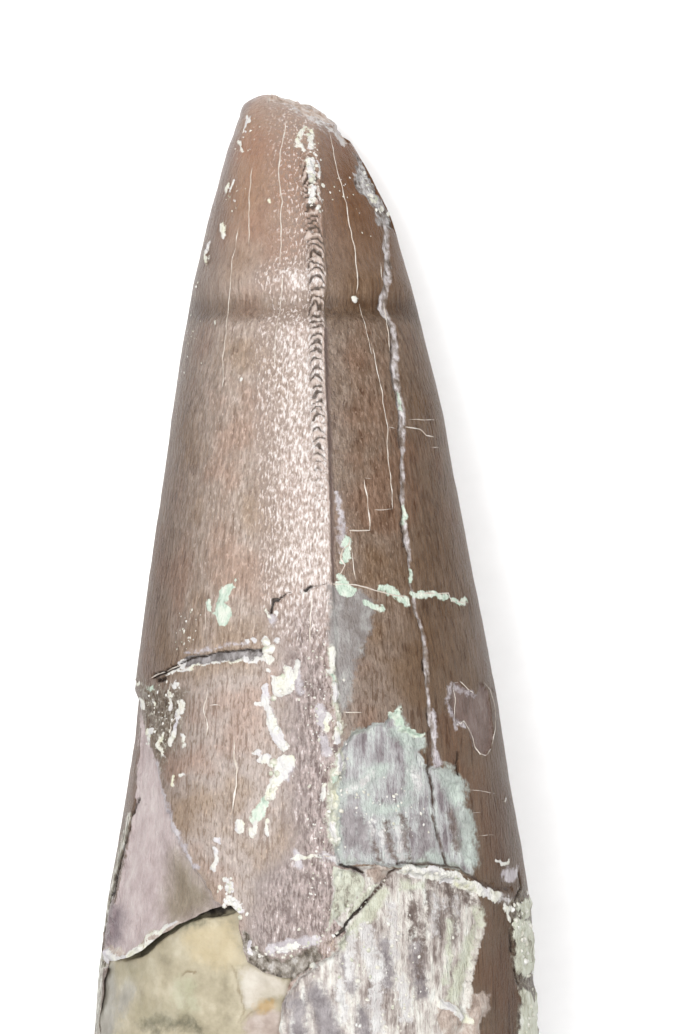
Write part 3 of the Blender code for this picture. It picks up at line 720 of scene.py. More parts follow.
def relief(points):
    """Height over the plain crown, and the values that the material needs."""
    x, y, z = points.T
    coarse, medium, fine = (rough(points, size) for size in (4.0, 0.9, 0.3))
    grain = rough(points * (1, 0.3, 1), 0.2)
    tiny = rough(points, 0.12, 2)
    ragged_z = z + 0.8 * rough(points + 20, 1.6) + 0.3 * medium + 2.0 * smooth(41.5, 43.0, y)
    upper = smooth(UPPER - 0.1, UPPER + 0.5, ragged_z)
    marks = {k: np.where(upper > 0.5, mark, -1.0) for k, mark in crown_marks(points).items()}
    painted_highlight, strip = highlight_and_strip(points)
    keel, denticle, denticle_gap_shade = carina_relief(points)
    band = BAND_HEIGHT * np.exp(-(((y - BAND) / BAND_SPREAD) ** 2))
    band -= HOLLOW_DEPTH * np.exp(-(((y - HOLLOW) / BAND_SPREAD) ** 2))
    mx, mz = middle(y)
    lift = 0.04 * coarse + 0.008 * medium + 0.012 * grain + band * np.clip((z - mz) / 4, 0, 1)
    lift += keel * upper + upper * strip * (0.07 * fine + 0.05 * grain)
    dentine = np.maximum(marks["upper_dentine"], marks["lower_dentine"])
    lift -= smooth(0, 0.12, dentine) * (0.2 + 0.1 * smooth(-0.1, 0.1, marks["lower_dentine"]))
    lift += smooth(0, 0.3, dentine) * (0.06 * medium + 0.05 * fine + 0.04 * grain)
    for name, low, high, height, by_fine, by_tiny in STEPS:
        lift += smooth(low, high, marks[name]) * (height + by_fine * fine + by_tiny * tiny)
    marks |= {"painted_highlight": painted_highlight * upper, "strip": strip * upper, "denticle": denticle * upper,
              "denticle_gap_shade": denticle_gap_shade * upper, "side": keel_side(points),
              "across": (x - mx) / np.maximum(half_width(y), 0.5)}
    return lift, marks


def move_and_mark(skin, places, lifts, marks):
    """Moves a skin's corners to places and out along their normals, and stores their marks."""
    layers = {name: skin.verts.layers.float.new(name) for name in marks}
    for index, vert in enumerate(skin.verts):
        vert.co = Vector(places[index]) + vert.normal * lifts[index]
        for name, layer in layers.items():
            vert[layer] = marks[name][index]
    return layers


corners = np.array([vert.co for vert in crown_mesh.verts])
lift, marks = relief(corners)
outside = on_outside(corners)
lift = lift * outside - SKIN_SINK - RIM_SINK * smooth(1.5, 0.3, corners[:, 1])
marks = {name: values * outside - (1 - outside) for name, values in marks.items()}
layers = move_and_mark(crown_mesh, trimmed(corners), lift, marks)
print("relief from", lift.min().round(2), "to", lift.max().round(2), "mm")

# %% [markdown]
# ## The lost piece of wall
#
# At the lower left a piece of the hollow crown's wall is gone, down to the siltstone inside.
# A Boolean with an upright prism cuts it out, as a jigsaw would. The prism's outline is
# divided and shaken a little first, because a fracture is never made of straight lines.

# %% Cut the window
WINDOW_LOW, WINDOW_TOP = 2.5, 14.0
WINDOW_STEP, WINDOW_SHAKE = 0.12, 0.09


def walk(path, step, shake):
    """Points at even steps along a path, each moved a little, as in nature."""
    points = []
    for start, end in zip(path, path[1:]):
        count = max(1, round(math.dist(start, end) / step))
        points += [Vector((*start, 0)).lerp(Vector((*end, 0)), k / count) for k in range(count)]
    points.append(Vector((*path[-1], 0)))
    return [point + shake * noise.noise_vector(point / 0.5) for point in points]


def as_object(name, mesh_in_mm):
    """A new object, still in crown millimetres."""
    mesh = bpy.data.meshes.new(name)
    mesh_in_mm.to_mesh(mesh)
    mesh_in_mm.free()
    obj = bpy.data.objects.new(name, mesh)
    scene.collection.objects.link(obj)
    return obj


def window_cutter():
    """An upright prism over the lost wall."""
    prism = bmesh.new()
    outline = walk((*LOST_WALL, LOST_WALL[0]), WINDOW_STEP, WINDOW_SHAKE)[:-1]
    rim = [prism.verts.new((point.x, point.y, WINDOW_LOW)) for point in outline]
    raised = bmesh.ops.extrude_face_region(prism, geom=[prism.faces.new(rim)])
    top = [part for part in raised["geom"] if isinstance(part, bmesh.types.BMVert)]
    bmesh.ops.translate(prism, verts=top, vec=(0, 0, WINDOW_TOP - WINDOW_LOW))
    bmesh.ops.recalc_face_normals(prism, faces=prism.faces)
    return as_object("window_cutter", prism)


def cut(obj, cutter):
    """Takes a cutter's volume away for good, and the cutter with it."""
    modifier = obj.modifiers.new("window", "BOOLEAN")
    modifier.operation = "DIFFERENCE"
    modifier.solver = "MANIFOLD"
    modifier.object = cutter
    bpy.context.view_layer.update()
    graph = bpy.context.evaluated_depsgraph_get()
    result = bpy.data.meshes.new_from_object(obj.evaluated_get(graph))
    result.materials.clear()
    obj.modifiers.clear()
    obj.data = result
    bpy.data.objects.remove(cutter)


marked = KDTree(len(crown_mesh.verts))
values = np.array([[vert[layer] for layer in layers.values()] for vert in crown_mesh.verts])
for index, vert in enumerate(crown_mesh.verts):
    marked.insert(vert.co, index)
marked.balance()
crown = as_object("crown", crown_mesh)
cut(crown, window_cutter())
nearest = [marked.find(vert.co)[1] for vert in crown.data.vertices]
for column, name in enumerate(layers):
    found = values[nearest, column]
    crown.data.attributes[name].data.foreach_set("value", found.astype(np.float32))
print("crown with its window:", len(crown.data.polygons), "faces")

# %% [markdown]
# ## Siltstone in the pulp cavity
#
# Fine mud washed into the hollow and set hard. It touches the wall all round, stands out a
# little in the window, where nothing holds it, and is lumpy where it broke. It is made the
# same way as the crown: a sheet, finer in the window, rolled up and then moved about.

# %% The siltstone core
CORE_COLUMNS = 128
CORE_FACE_ROWS, CORE_ROWS = 12, 108  # the broken face at the base, then up to the far end
CORE_START, CORE_END = 0.5, 21.8
CORE_GAP = 0.03
CORE_DEPTHS = (  # x, then how deep under the crown's skin the siltstone shows
    (-9.2, 0.05), (-8.6, 0.05), (-8.0, 0.2), (-7.2, 0.34), (-2.0, 0.4),
)
DARK_GAP = (
    (0.12, (-3.3, 11.0), (-3.84, 10.84), (-4.24, 10.74)), (0.06, (-4.24, 10.74), (-4.98, 10.5)),
)
CORE_MARKS = {
    "smear": (
        (0.2, (-6.7, 6.05), (-6.35, 6.22), (-5.91, 6.3), (-5.69, 6.2)),
        (0.14, (-6.5, 6.0), (-6.1, 5.8)),
        (0.16, (-5.5, 6.24), (-5.16, 6.32), (-4.8, 6.25), (-4.6, 6.05)),
        (0.05, (-5.02, 10.38), (-4.98, 10.1)), (0.04, (-4.61, 10.36), (-4.2, 10.42)),
        (0.04, (-4.6, 10.22), (-4.2, 10.28)),
    ),
    "pale": (
        (0.5, (-2.3, 7.9), (-1.5, 7.9)), (0.4, (-2.4, 8.2), (-2.35, 7.4)),
        (0.3, (-1.2, 7.9), (-1.0, 7.8)),
    ),
    "pink": (
        (0.5, (-1.95, 6.4), (-1.5, 6.5), (-1.6, 5.5), (-1.6, 4.0)),
        (0.2, (-2.3, 6.5), (-2.35, 5.6)),
    ),
    "orange": ((0.24, (-1.95, 7.1), (-1.6, 7.1)),),
    "warm": ((0.5, (-4.5, 9.7), (-3.4, 9.9), (-3.3, 9.1), (-4.3, 9.2)),),
    "shade": ((0.5, (-6.6, 6.5), (-5.0, 6.6)), (0.4, (-7.6, 8.0), (-6.9, 8.2))),
    "moss": (
        (0.12, (-5.35, 10.15), (-5.0, 10.3), (-4.7, 10.3)), (0.2, (-5.2, 7.9), (-5.25, 6.9)),
        (0.2, (-4.8, 7.9), (-4.7, 6.9)),
    ),
    # Painted shadow under the overhanging edge of the wall, along the dark gap.
    "gap_shadow": (
        (0.16, (-3.1, 11.05), (-3.7, 10.85), (-4.1, 10.7)),
        (0.08, (-4.1, 10.75), (-5.0, 10.45)),
    ),
    "crease": (
        (0.03, (-3.06, 8.59), (-2.98, 8.02), (-2.83, 7.4), (-2.69, 6.99), (-2.78, 6.37)),
        (0.07, (-5.21, 8.24), (-4.94, 8.36), (-4.62, 8.32)),
        (0.03, (-2.6, 6.5), (-2.3, 6.9), (-1.95, 7.0)),
    ),
    "grey": ((0.5, (-8.3, 7.8), (-8.5, 5.3)), (0.3, (-7.2, 8.2), (-7.7, 6.6))),
}
CORE_STEPS = (  # mark, where its edge begins and ends, height
    ("pale", -0.3, 0.1, 0.1), ("pink", -0.2, 0.3, 0.12), ("smear", -0.1, 0.1, -0.05),
    ("crease", -0.05, 0, -0.05),
)
CORE_FACE_SINK = 0.2


def core_place(u, v):
    """Places on the siltstone core, from the middle of its broken face to its far end."""
    row = (v + 1) / 2 * CORE_ROWS
    angle = math.pi / 2 - math.pi * u
    share = np.clip((row - CORE_FACE_ROWS) / (CORE_ROWS - CORE_FACE_ROWS), 0, 1)
    y = CORE_START + (CORE_END - CORE_START) * np.sin(math.pi / 2 * share)
    skin = crown_point(y, angle)
    edge = inside(LOST_WALL, skin[:, 0], skin[:, 1])
    show = np.where(skin[:, 0] < -7.8, smooth(-0.35, -0.15, edge), smooth(-0.12, 0.08, edge))
    show *= (skin[:, 2] > WINDOW_LOW) * smooth(0, 0.15, -within(DARK_GAP, *skin.T[:2]))
    inset = cavity_inset(y) + CORE_GAP
    seen = np.interp(skin[:, 0], *zip(*CORE_DEPTHS))
    place = crown_point(y, angle, inset + (seen - inset) * show)
    x, z = middle(y)
    centre = np.column_stack((x, y, z))
    spread = np.clip(row / CORE_FACE_ROWS, 0, 1)[:, None] * (share < 0.999)[:, None]
    return centre + (place - centre) * spread


def core_seen(points):
    """True where the siltstone shows in the window."""
    x, y, z = points.T
    return (inside(LOST_WALL, x, y) > -0.3) & (z > WINDOW_LOW)


core_mesh = sheet(CORE_COLUMNS, CORE_ROWS)
refine(core_mesh, core_place, core_seen)
refine(core_mesh, core_place, core_seen)
roll_up(core_mesh, core_place)
corners = np.array([vert.co for vert in core_mesh.verts])
shown = core_seen(corners)
face = corners[:, 1] < CORE_START + 0.2
wx, wy = shaken(corners)
core_marks = {
    name: np.where(shown, within(strokes, wx, wy), -1.0) for name, strokes in CORE_MARKS.items()
}
bumps = 0.12 * rough(corners, 1.8) + 0.03 * rough(corners, 0.35)
for name, low, high, height in CORE_STEPS:
    bumps += height * smooth(low, high, core_marks[name])
lift = bumps * shown + (1.5 * bumps - CORE_FACE_SINK) * face
move_and_mark(core_mesh, corners, lift, core_marks)
core = as_object("siltstone_core", core_mesh)
print("siltstone:", len(core.data.polygons), "faces")

# %% [markdown]
# ## Mineral veins
#
# Hairline cracks in the enamel are filled with pale calcite that stands a touch proud. Each
# vein is a small closed strand laid along its path: a grid rolled into a flat tube that
# tapers to nothing at both ends, dropped on the crown by casting a ray down at each ring.

# %% Veins along the hairline cracks
VEINS = (
    (0.035, (-2.43, 40.93), (-2.51, 40.0), (-2.54, 38.63), (-2.53, 37.59)),
    (0.03, (-2.95, 38.43), (-3.07, 37.61), (-3.23, 36.95), (-3.3, 35.63), (-3.46, 34.15),
     (-3.57, 32.92), (-3.61, 31.69)),
    (0.035, (-1.05, 42.97), (-1.09, 42.44), (-1.28, 41.45), (-1.32, 40.31), (-1.19, 39.43),
     (-1.23, 38.51), (-1.26, 36.69)),
    (0.025, (-1.14, 36.48), (-1.21, 35.33), (-1.41, 34.11), (-1.48, 32.47)),
    (0.035, (0.72, 42.48), (0.89, 41.48), (1.09, 40.64), (1.42, 39.38), (1.58, 38.42),
     (1.79, 37.34), (1.87, 36.35), (1.87, 35.52)),
    (0.03, (1.91, 35.27), (2.07, 34.74), (2.27, 33.92), (2.47, 33.11)),
    (0.03, (2.48, 33.52), (2.68, 32.58), (2.84, 31.76), (3.04, 30.38), (3.08, 30.1),
     (3.12, 28.88), (3.24, 27.83), (3.31, 27.02), (3.35, 26.82)),
    (0.05, (3.08, 30.18), (3.44, 30.14)), (0.03, (2.55, 26.82), (3.35, 26.86)),
    (0.042, (2.15, 28.11), (2.27, 27.26), (2.39, 25.98), (1.58, 25.98), (1.66, 25.78)),
    (0.03, (1.66, 25.3), (1.82, 23.94)), (0.03, (2.15, 28.11), (2.47, 28.11)),
    (0.03, (3.94, 30.52), (4.6, 30.5), (5.24, 30.57)),
    (0.045, (3.73, 30.23), (4.43, 30.08), (4.68, 29.84), (5.1, 29.81)),
    (0.025, (4.84, 29.39), (5.26, 29.32)), (0.03, (2.81, 37.02), (2.89, 36.14)),
    (0.03, (2.93, 35.39), (3.13, 34.16), (3.21, 33.25)),
    (0.04, (0.58, 23.83), (1.18, 23.86), (1.86, 23.82), (2.46, 23.66), (2.82, 23.54),
     (3.39, 23.41), (3.99, 23.25)),
    (0.04, (4.2, 23.53), (4.81, 23.48), (5.55, 23.47), (5.71, 23.1), (6.48, 23.08)),
    (0.05, (1.58, 25.78), (1.5, 25.42), (1.3, 25.22), (1.22, 24.9), (1.38, 24.62),
     (1.22, 24.34), (1.02, 24.1)),
    (0.045, (-4.11, 19.65), (-4.27, 18.85), (-4.14, 18.17), (-4.18, 17.69)),
    (0.045, (-4.11, 18.97), (-3.49, 19.02)),
    (0.06, (-3.03, 17.68), (-3.03, 17.02), (-2.93, 16.5), (-2.96, 15.84), (-3.03, 15.25),
     (-3.09, 14.72)),
    (0.035, (-5.22, 19.33), (-5.26, 18.61), (-5.63, 18.2), (-5.75, 17.31)),
    (0.03, (-5.69, 20.0), (-5.68, 18.79)), (0.03, (-6.18, 17.84), (-6.05, 16.77)),
    (0.03, (-6.76, 18.32), (-6.79, 17.39)), (0.03, (-5.62, 16.16), (-5.58, 15.72)),
    (0.035, (1.19, 18.82), (1.66, 18.78), (2.1, 18.74)),
    (0.05, (-0.72, 13.13), (-0.5, 13.1)), (0.045, (-0.4, 13.09), (-0.1, 13.09)),
    (0.045, (0.05, 13.12), (0.31, 13.13)), (0.05, (0.45, 13.1), (0.87, 13.09)),
    (0.04, (-5.0, 20.7), (-5.82, 20.3), (-6.7, 19.9)),
    (0.045, (0.05, 23.5), (0.02, 22.15), (-0.05, 21.35)), (0.03, (-0.17, 24.2), (-0.17, 23.85)),
    (0.04, (5.74, 19.85), (6.03, 19.88), (6.36, 19.58), (6.78, 19.32)),
    (0.05, (5.81, 18.09), (6.02, 18.2), (6.18, 18.31), (6.43, 17.94), (6.64, 17.28),
     (6.85, 16.95), (7.1, 16.89), (7.36, 17.14)),
    (0.03, (5.74, 19.85), (5.81, 19.2), (5.81, 18.09)),
    (0.03, (7.04, 19.86), (7.3, 19.47), (7.5, 18.65), (7.5, 17.85), (7.36, 17.14)),
    (0.02, (-4.2, 23.3), (-4.25, 21.85)), (0.02, (6.27, 15.62), (7.5, 15.3)),
    (0.02, (6.4, 14.65), (7.0, 14.62)), (0.02, (6.7, 13.7), (7.5, 13.66)),
)
VEIN_STEP, WANDER = 0.12, 0.06
VEIN_SIDES = 6
VEIN_GIRTH = 0.65
VEIN_HEIGHT = 0.55  # of its radius

skin = BVHTree.FromObject(crown, bpy.context.evaluated_depsgraph_get())


def drop(x, y):
    """The point of the crown straight below a place in x and y, or nothing."""
    return skin.ray_cast(Vector((x, y, WINDOW_TOP)), Vector((0, 0, -1)))[0]


def gather(whole, part):
    """Adds a part to a whole, and lets the part go."""
    mesh = bpy.data.meshes.new("part")
    part.to_mesh(mesh)
    part.free()
    whole.from_mesh(mesh)
    bpy.data.meshes.remove(mesh)


def lay_strand(mesh, radius, path):
    """A closed strand along a path on the crown, thicker and thinner by turns."""
    points = [drop(point.x, point.y) for point in walk(path, VEIN_STEP, WANDER)]
    points = [point for point in points if point is not None]
    if len(points) < 3:
        return
    strand = sheet(VEIN_SIDES, len(points) - 1)
    for vert in strand.verts:
        ring = round((vert.co.y + 1) / 2 * (len(points) - 1))
        turn = math.pi * vert.co.x
        here = points[ring]
        along = points[min(ring + 1, len(points) - 1)] - points[max(ring - 1, 0)]
        aside = Vector((along.y, -along.x, 0)).normalized()
        end = min(ring, len(points) - 1 - ring, 3) / 3
        girth = VEIN_GIRTH * radius * end * (1 + 0.9 * noise.noise(here / 0.35))
        flat = aside * math.cos(turn) + Vector((0, 0, VEIN_HEIGHT * math.sin(turn)))
        vert.co = here + girth * flat
    close_up(strand)
    gather(mesh, strand)


vein_mesh = bmesh.new()
for radius, *path in VEINS:
    lay_strand(vein_mesh, radius, path)
veins = as_object("mineral_veins", vein_mesh)
print("veins:", len(VEINS), "with", len(veins.data.polygons), "faces")

# %% [markdown]
# ## Mineral grains
#
# The crusts are heaps of small calcite crystals, and loose ones are scattered over the rough
# strip and the dentine. Each grain is a low ball of a few dozen faces, squashed, turned and
# pressed into the skin. A fixed seed keeps every grain in its place from run to run.

# %% Scatter the grains
GRAIN_FIELDS = (  # count, smallest and largest radius, spread, then the path they follow
    (5, 0.1, 0.2, 0.05, (-1.68, 19.13), (-1.48, 18.4), (-1.11, 17.63), (-0.91, 17.44)),
    (6, 0.12, 0.26, 0.1, (-1.8, 21.6), (-1.55, 21.2), (-1.7, 20.8)),
    (4, 0.1, 0.22, 0.16, (-1.1, 20.1), (-1.2, 19.6)),
    (6, 0.1, 0.22, 0.12, (-1.87, 16.91), (-0.97, 16.72), (-1.3, 16.29), (-1.56, 15.41)),
    (110, 0.03, 0.08, 0.42, (0.2, 21.5), (0.3, 19.0), (0.5, 16.0), (0.6, 12.5), (0.2, 10.5)),
    (26, 0.06, 0.14, 0.2, (-3.22, 11.9), (-3.2, 11.3), (-2.9, 11.0)),
    (14, 0.05, 0.11, 0.05, (3.69, 12.5), (5.09, 12.35), (5.96, 12.1), (6.78, 11.65), (7.49, 11.2)),
    (34, 0.05, 0.12, 0.1, (-2.55, 9.3), (-1.2, 9.2), (0.3, 9.7), (0.9, 10.2)),
    (90, 0.04, 0.11, 1.2, (3.0, 11.0), (3.2, 8.5), (2.6, 5.5)),
    (50, 0.05, 0.13, 0.2, (8.3, 11.0), (8.7, 9.5), (8.9, 7.5), (8.9, 5.5)),
    (60, 0.04, 0.13, 0.14, (-0.1, 42.4), (0.1, 41.2), (0.15, 39.0)),
    (40, 0.03, 0.08, 0.4, (-5.9, 19.4), (-6.2, 17.2)),
    (24, 0.05, 0.13, 0.15, (2.1, 40.6), (2.9, 39.0)),
    (40, 0.03, 0.07, 0.35, (-4.5, 38.0), (-5.6, 31.0)),
    (26, 0.03, 0.07, 0.3, (-2.5, 42.8), (-3.6, 39.0)),
    (24, 0.03, 0.08, 0.25, (-5.0, 22.6), (-5.1, 21.3)),
    (16, 0.03, 0.07, 0.3, (1.2, 40.5), (2.2, 38.0)),
    (40, 0.04, 0.11, 0.2, (1.1, 19.0), (1.0, 15.5), (1.0, 13.4)),
    (50, 0.03, 0.09, 0.5, (2.0, 15.2), (3.6, 15.0), (4.2, 14.2)),
)
GRAIN_SEED = 7
GRAIN_SINK = 0.25  # of its radius
GRAIN_STEP = 0.02
GRAIN_FACES = {"u_segments": 7, "v_segments": 5}

random = np.random.default_rng(GRAIN_SEED)
grain_mesh = bmesh.new()
for count, smallest, largest, spread, *path in GRAIN_FIELDS:
    spots = walk(path, GRAIN_STEP, WANDER)
    heap = bmesh.new()
    for _ in range(count):
        spot = spots[random.integers(len(spots))]
        dx, dy = random.normal(0, spread, 2)
        radius = smallest + (largest - smallest) * random.random() ** 2
        sizes = radius * (0.7 + 0.6 * random.random(3)) * (1, 1, 0.5)
        turn = Matrix.Rotation(random.uniform(0, math.tau), 4, "Z")
        place = drop(spot.x + dx, spot.y + dy)
        if place is not None:
            place.z -= GRAIN_SINK * radius
            at = Matrix.Translation(place) @ turn @ Matrix.Diagonal((*sizes, 1))
            bmesh.ops.create_uvsphere(heap, **GRAIN_FACES, radius=1.0, matrix=at)
    gather(grain_mesh, heap)
for vert in grain_mesh.verts:
    vert.co += 0.02 * noise.noise_vector(vert.co / 0.06)
grains = as_object("mineral_grains", grain_mesh)
print("grains:", len(grains.data.polygons), "faces")

# %% [markdown]
# ## Laid down on the floor
#
# The tooth rests on two small worn flats, one under the base and one under the tip. The same
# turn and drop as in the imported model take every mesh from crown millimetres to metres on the
# floor, and whatever would reach below the floor is pressed flat, as wear did.

# %% Lay the meshes down
LAY_TURN = math.radians(-10.296401)
LAY_DROP = 9.776051
LAY_SHIFT = (-0.0086436, -20.6674729, 0.0)
lay_down = (
    Matrix.Scale(MM, 4)
    @ Matrix.Translation(LAY_SHIFT)
    @ Matrix.Translation((0, 0, LAY_DROP))
    @ Matrix.Rotation(LAY_TURN, 4, "X")
)
for piece in (crown, core, veins, grains):
    piece.data.transform(lay_down)
    for vert in piece.data.vertices:
        vert.co.z = max(vert.co.z, 0.0)
    piece.data.shade_smooth()
    piece.data.update()
    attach(piece, "root")
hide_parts("tooth")
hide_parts("matrix_fill")
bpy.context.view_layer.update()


# %% [markdown]
# ## Shader helpers
#
# Colours are picked as sRGB hex, the way a colour picker shows them, but shaders work in
# linear light, so one function converts them. One more adds a node with its settings and
# links. Patterns are measured in crown millimetres: a Mapping node turns the laid-down metres
# back, so a pattern can run along the crown.

# %% Colour and nodes
LIGHT_STRENGTH = 2.0  # how much brighter than full white the lights make white paper


def linear(colour):
    """Linear light from an sRGB hex colour."""
    parts = [int(colour[place : place + 2], 16) / 255 for place in (1, 3, 5)]
    return (*((p / 12.92 if p <= 0.04045 else ((p + 0.055) / 1.055) ** 2.4) for p in parts), 1)


def albedo(colour):
    """The surface colour that shows as a given colour under the studio lights."""
    return (*(part / LIGHT_STRENGTH for part in linear(colour)[:3]), 1)


def add(tree, kind, settings=None, links=None):
    """Adds a node with its settings and links, and gives its outputs."""
    made = tree.nodes.new(f"ShaderNode{kind}")
    for name, value in (settings or {}).items():
        if isinstance(name, int) or name in made.inputs:
            made.inputs[name].default_value = value
        else:
            setattr(made, name, value)
    for name, source in (links or {}).items():
        output = source if isinstance(source, bpy.types.NodeSocket) else source[0]
        tree.links.new(output, made.inputs[name])
    return made.outputs


def crown_space(tree, stretch=(1.0, 1.0, 1.0)):
    """Crown millimetres from the laid-down metres, stretched along an axis if asked."""
    back = {"Location": lay_down.inverted().translation, "Rotation": (-LAY_TURN, 0, 0)}
    place = add(tree, "TexCoord")["Object"]
    turned = add(tree, "Mapping", back | {"Scale": (1 / MM,) * 3}, {"Vector": place})
    return add(tree, "Mapping", {"Scale": stretch}, {"Vector": turned})[0]


def pattern(tree, scale, stretch=(1.0, 1.0, 1.0), detail=4.0, roughness=0.6):
    """A noise in crown millimetres, from 0 to 1; a higher scale gives finer lumps."""
    settings = {"Scale": scale, "Detail": detail, "Roughness": roughness}
    return add(tree, "TexNoise", settings, {"Vector": crown_space(tree, stretch)})[0]


def new_material(name):
    """A material with an empty tree but for its shader."""
    material = bpy.data.materials.new(name)
    material.use_nodes = True
    tree = material.node_tree
    return material, tree, tree.nodes["Principled BSDF"]


def mark(tree, name):
    """A value stored at the corners of the mesh."""
    return add(tree, "Attribute", {"attribute_name": name})["Fac"]


def between(tree, value, low, high, amount=1.0):
    """A soft step from 0 to an amount as a value goes from low to high."""
    settings = {"interpolation_type": "SMOOTHSTEP", "To Max": amount}
    return add(tree, "MapRange", settings | {"From Min": low, "From Max": high}, {0: value})[0]


def combine(tree, operation, first, second):
    """Two values, or a value and a number, put together."""
    if isinstance(second, (int, float)):
        return add(tree, "Math", {"operation": operation, 1: second}, {0: first})[0]
    return add(tree, "Math", {"operation": operation}, {0: first, 1: second})[0]


def cover(tree, name, soft, ragged, shake):
    """How much a mark covers the surface: its distance, shaken, as a soft step."""
    edge = add(tree, "Math", {"operation": "MULTIPLY_ADD", 1: ragged},
               {0: shake, 2: mark(tree, name)})[0]
    return between(tree, edge, ragged / 2 - soft, ragged / 2 + soft)


def palette(tree, value, colours, low=0.34, high=0.66):
    """Colours spread evenly over a pattern's middle range."""
    blend = add(tree, "ValToRGB", {}, {"Fac": value})[0]
    stops = blend.node.color_ramp.elements
    places = np.linspace(low, high, len(colours))
    stops[0].position, stops[1].position = places[0], places[-1]
    for place in places[1:-1]:
        stops.new(place)
    for stop, colour in zip(stops, colours):
        stop.color = albedo(colour)
    return blend


def painted(tree, under, colour, amount):
    """A colour laid over another by an amount; either may be a node's output."""
    links = {"Fac": amount, "Color1": under}
    if isinstance(colour, str):
        return add(tree, "MixRGB", {"Color2": albedo(colour)}, links)[0]
    return add(tree, "MixRGB", {}, links | {"Color2": colour})[0]


def stain_and_shade(tree, under, colour, amount):
    """A clear tint over a colour, which keeps the pattern under it: for stains and painted shade.
    """
    settings = {"blend_type": "MULTIPLY", "Color2": linear(colour)}
    return add(tree, "MixRGB", settings, {"Fac": amount, "Color1": under})[0]


def layered(tree, under, layers, shake):
    """Marks laid one over another, each with its own pattern of colours."""
    for name, value, colours, soft, ragged in layers:
        colour = palette(tree, value, colours)
        under = painted(tree, under, colour, cover(tree, name, soft, ragged, shake))
    return under


def bumpy(tree, shader, bumps):
    """Relief too fine for the mesh: patterns, each with a strength and a height in mm."""
    below = {}
    for height, strength, size in bumps:
        settings = {"Strength": strength, "Distance": size * MM}
        below = {"Normal": add(tree, "Bump", settings, {"Height": height} | below)[0]}
    tree.links.new(below["Normal"], shader.inputs["Normal"])


print("mid brown in linear light:", [round(part, 3) for part in linear("#9c8675")])

# %% [markdown]
# ## Enamel, dentine and crust on the crown
#
# Fossil enamel is phosphate stained brown by iron, still with the satin gloss of a living
# tooth and fine wrinkles that run lengthwise. Dentine under it is matt, pinkish to lilac grey.
# Calcite crusts are cream, those with a little copper or chlorite are mint green. One material
# holds them all, because on the real tooth they grade into each other within a millimetre.

# %% Patterns of the crown
enamel, tree, shader = new_material("fossil_enamel_and_dentine")
streaks = pattern(tree, 5.0, (1, 0.1, 1), 3.0, 0.6)
striae = pattern(tree, 7.0, (1, 0.035, 1), 2.0, 0.5)
grain = pattern(tree, 9.0, (1, 0.35, 1), 3.0, 0.6)
fleck = pattern(tree, 11.0, (1, 0.33, 1), 2.5, 0.6)
strand = pattern(tree, 8.0, (1, 0.3, 1), 3.0, 0.65)
crumbs = pattern(tree, 3.5, (1, 0.6, 1), 3.0, 0.6)
threads = pattern(tree, 4.5, (1, 0.12, 1), 4.0, 0.65)
speck = pattern(tree, 5.0, (1, 1, 1), 4.0, 0.7)
mottle = pattern(tree, 1.5, (1, 0.6, 1), 7.0, 0.7)
blotch = pattern(tree, 1.0, (1, 0.75, 1), 6.0, 0.6)
clouds = pattern(tree, 0.35, (1, 1, 1), 3.0, 0.5)
tissue = combine(tree, "ADD", blotch, threads)
tissue = add(tree, "Math", {"operation": "MULTIPLY_ADD", 1: 0.75, 2: -0.25}, {0: tissue})[0]
side, across = mark(tree, "side"), mark(tree, "across")
painted_highlight, strip = mark(tree, "painted_highlight"), mark(tree, "strip")
along = add(tree, "SeparateXYZ", {}, {0: crown_space(tree)})["Y"]
print("patterns and marks of the crown:", len(tree.nodes), "nodes")


# %% Clean and worn enamel, with painted shade and highlight
def flecked(tree, under, value, amount, steps):
    """Worn gaps and grains, and painted highlight flecks: each step is where a pattern passes two
    values.
    """
    for low, high, colour in steps:
        step = combine(tree, "MULTIPLY", between(tree, value, low, high), amount)
        under = painted(tree, under, colour, step)
    return under


base = palette(tree, streaks, ("#9c8675", "#ac9787", "#bba798", "#c9b6a8"))
base = painted(tree, base, "#cabeb8", between(tree, along, 24.5, 18.5, 0.6))
base = stain_and_shade(tree, base, "#cbbfb6", between(tree, striae, 0.42, 0.34))
base = painted(tree, base, "#decec3", between(tree, striae, 0.58, 0.68, 0.5))
base = painted(tree, base, "#b09a8a", between(tree, along, 34.0, 39.0, 0.6))
plain = combine(tree, "MAXIMUM", between(tree, along, 33.0, 38.0, 0.85),
                between(tree, side, 1.0, 4.0, 0.6))
lively = between(tree, plain, 1.0, 0.0)
base = flecked(tree, base, grain, lively, ((0.48, 0.36, "#9f8c7e"), (0.56, 0.7, "#ddccc0")))
# The flank, keel-side and edge stains are painted shade; the warm tip and the clouds are the
# enamel's own.
STAINS_AND_SHADE = (  # value, where the stain begins and is full, colour
    (along, 34.5, 40.5, "#eed0b4"), (across, -0.5, -1.0, "#a89c92"), (side, -0.1, 0.3, "#c7bfb7"),
    (side, 1.5, 4.5, "#cfc4b6"), (side, 5.6, 6.6, "#ded6cf"), (clouds, 0.48, 0.66, "#eee3d3"),
    (clouds, 0.5, 0.34, "#faece4"),
)
for value, low, high, colour in STAINS_AND_SHADE:
    base = stain_and_shade(tree, base, colour, between(tree, value, low, high))
# Painted shade in the growth band's hollow, under its hump.
hollow = combine(tree, "SUBTRACT", along, HOLLOW - 0.1)
hollow = add(tree, "Math", {"operation": "ABSOLUTE"}, {0: hollow})[0]
base = stain_and_shade(tree, base, "#c9bdae", between(tree, hollow, 0.8, 0.1))
bruise = combine(tree, "MULTIPLY", cover(tree, "bruise", 0.5, 1.0, mottle), 0.75)
base = painted(tree, base, "#9d8f8b", bruise)
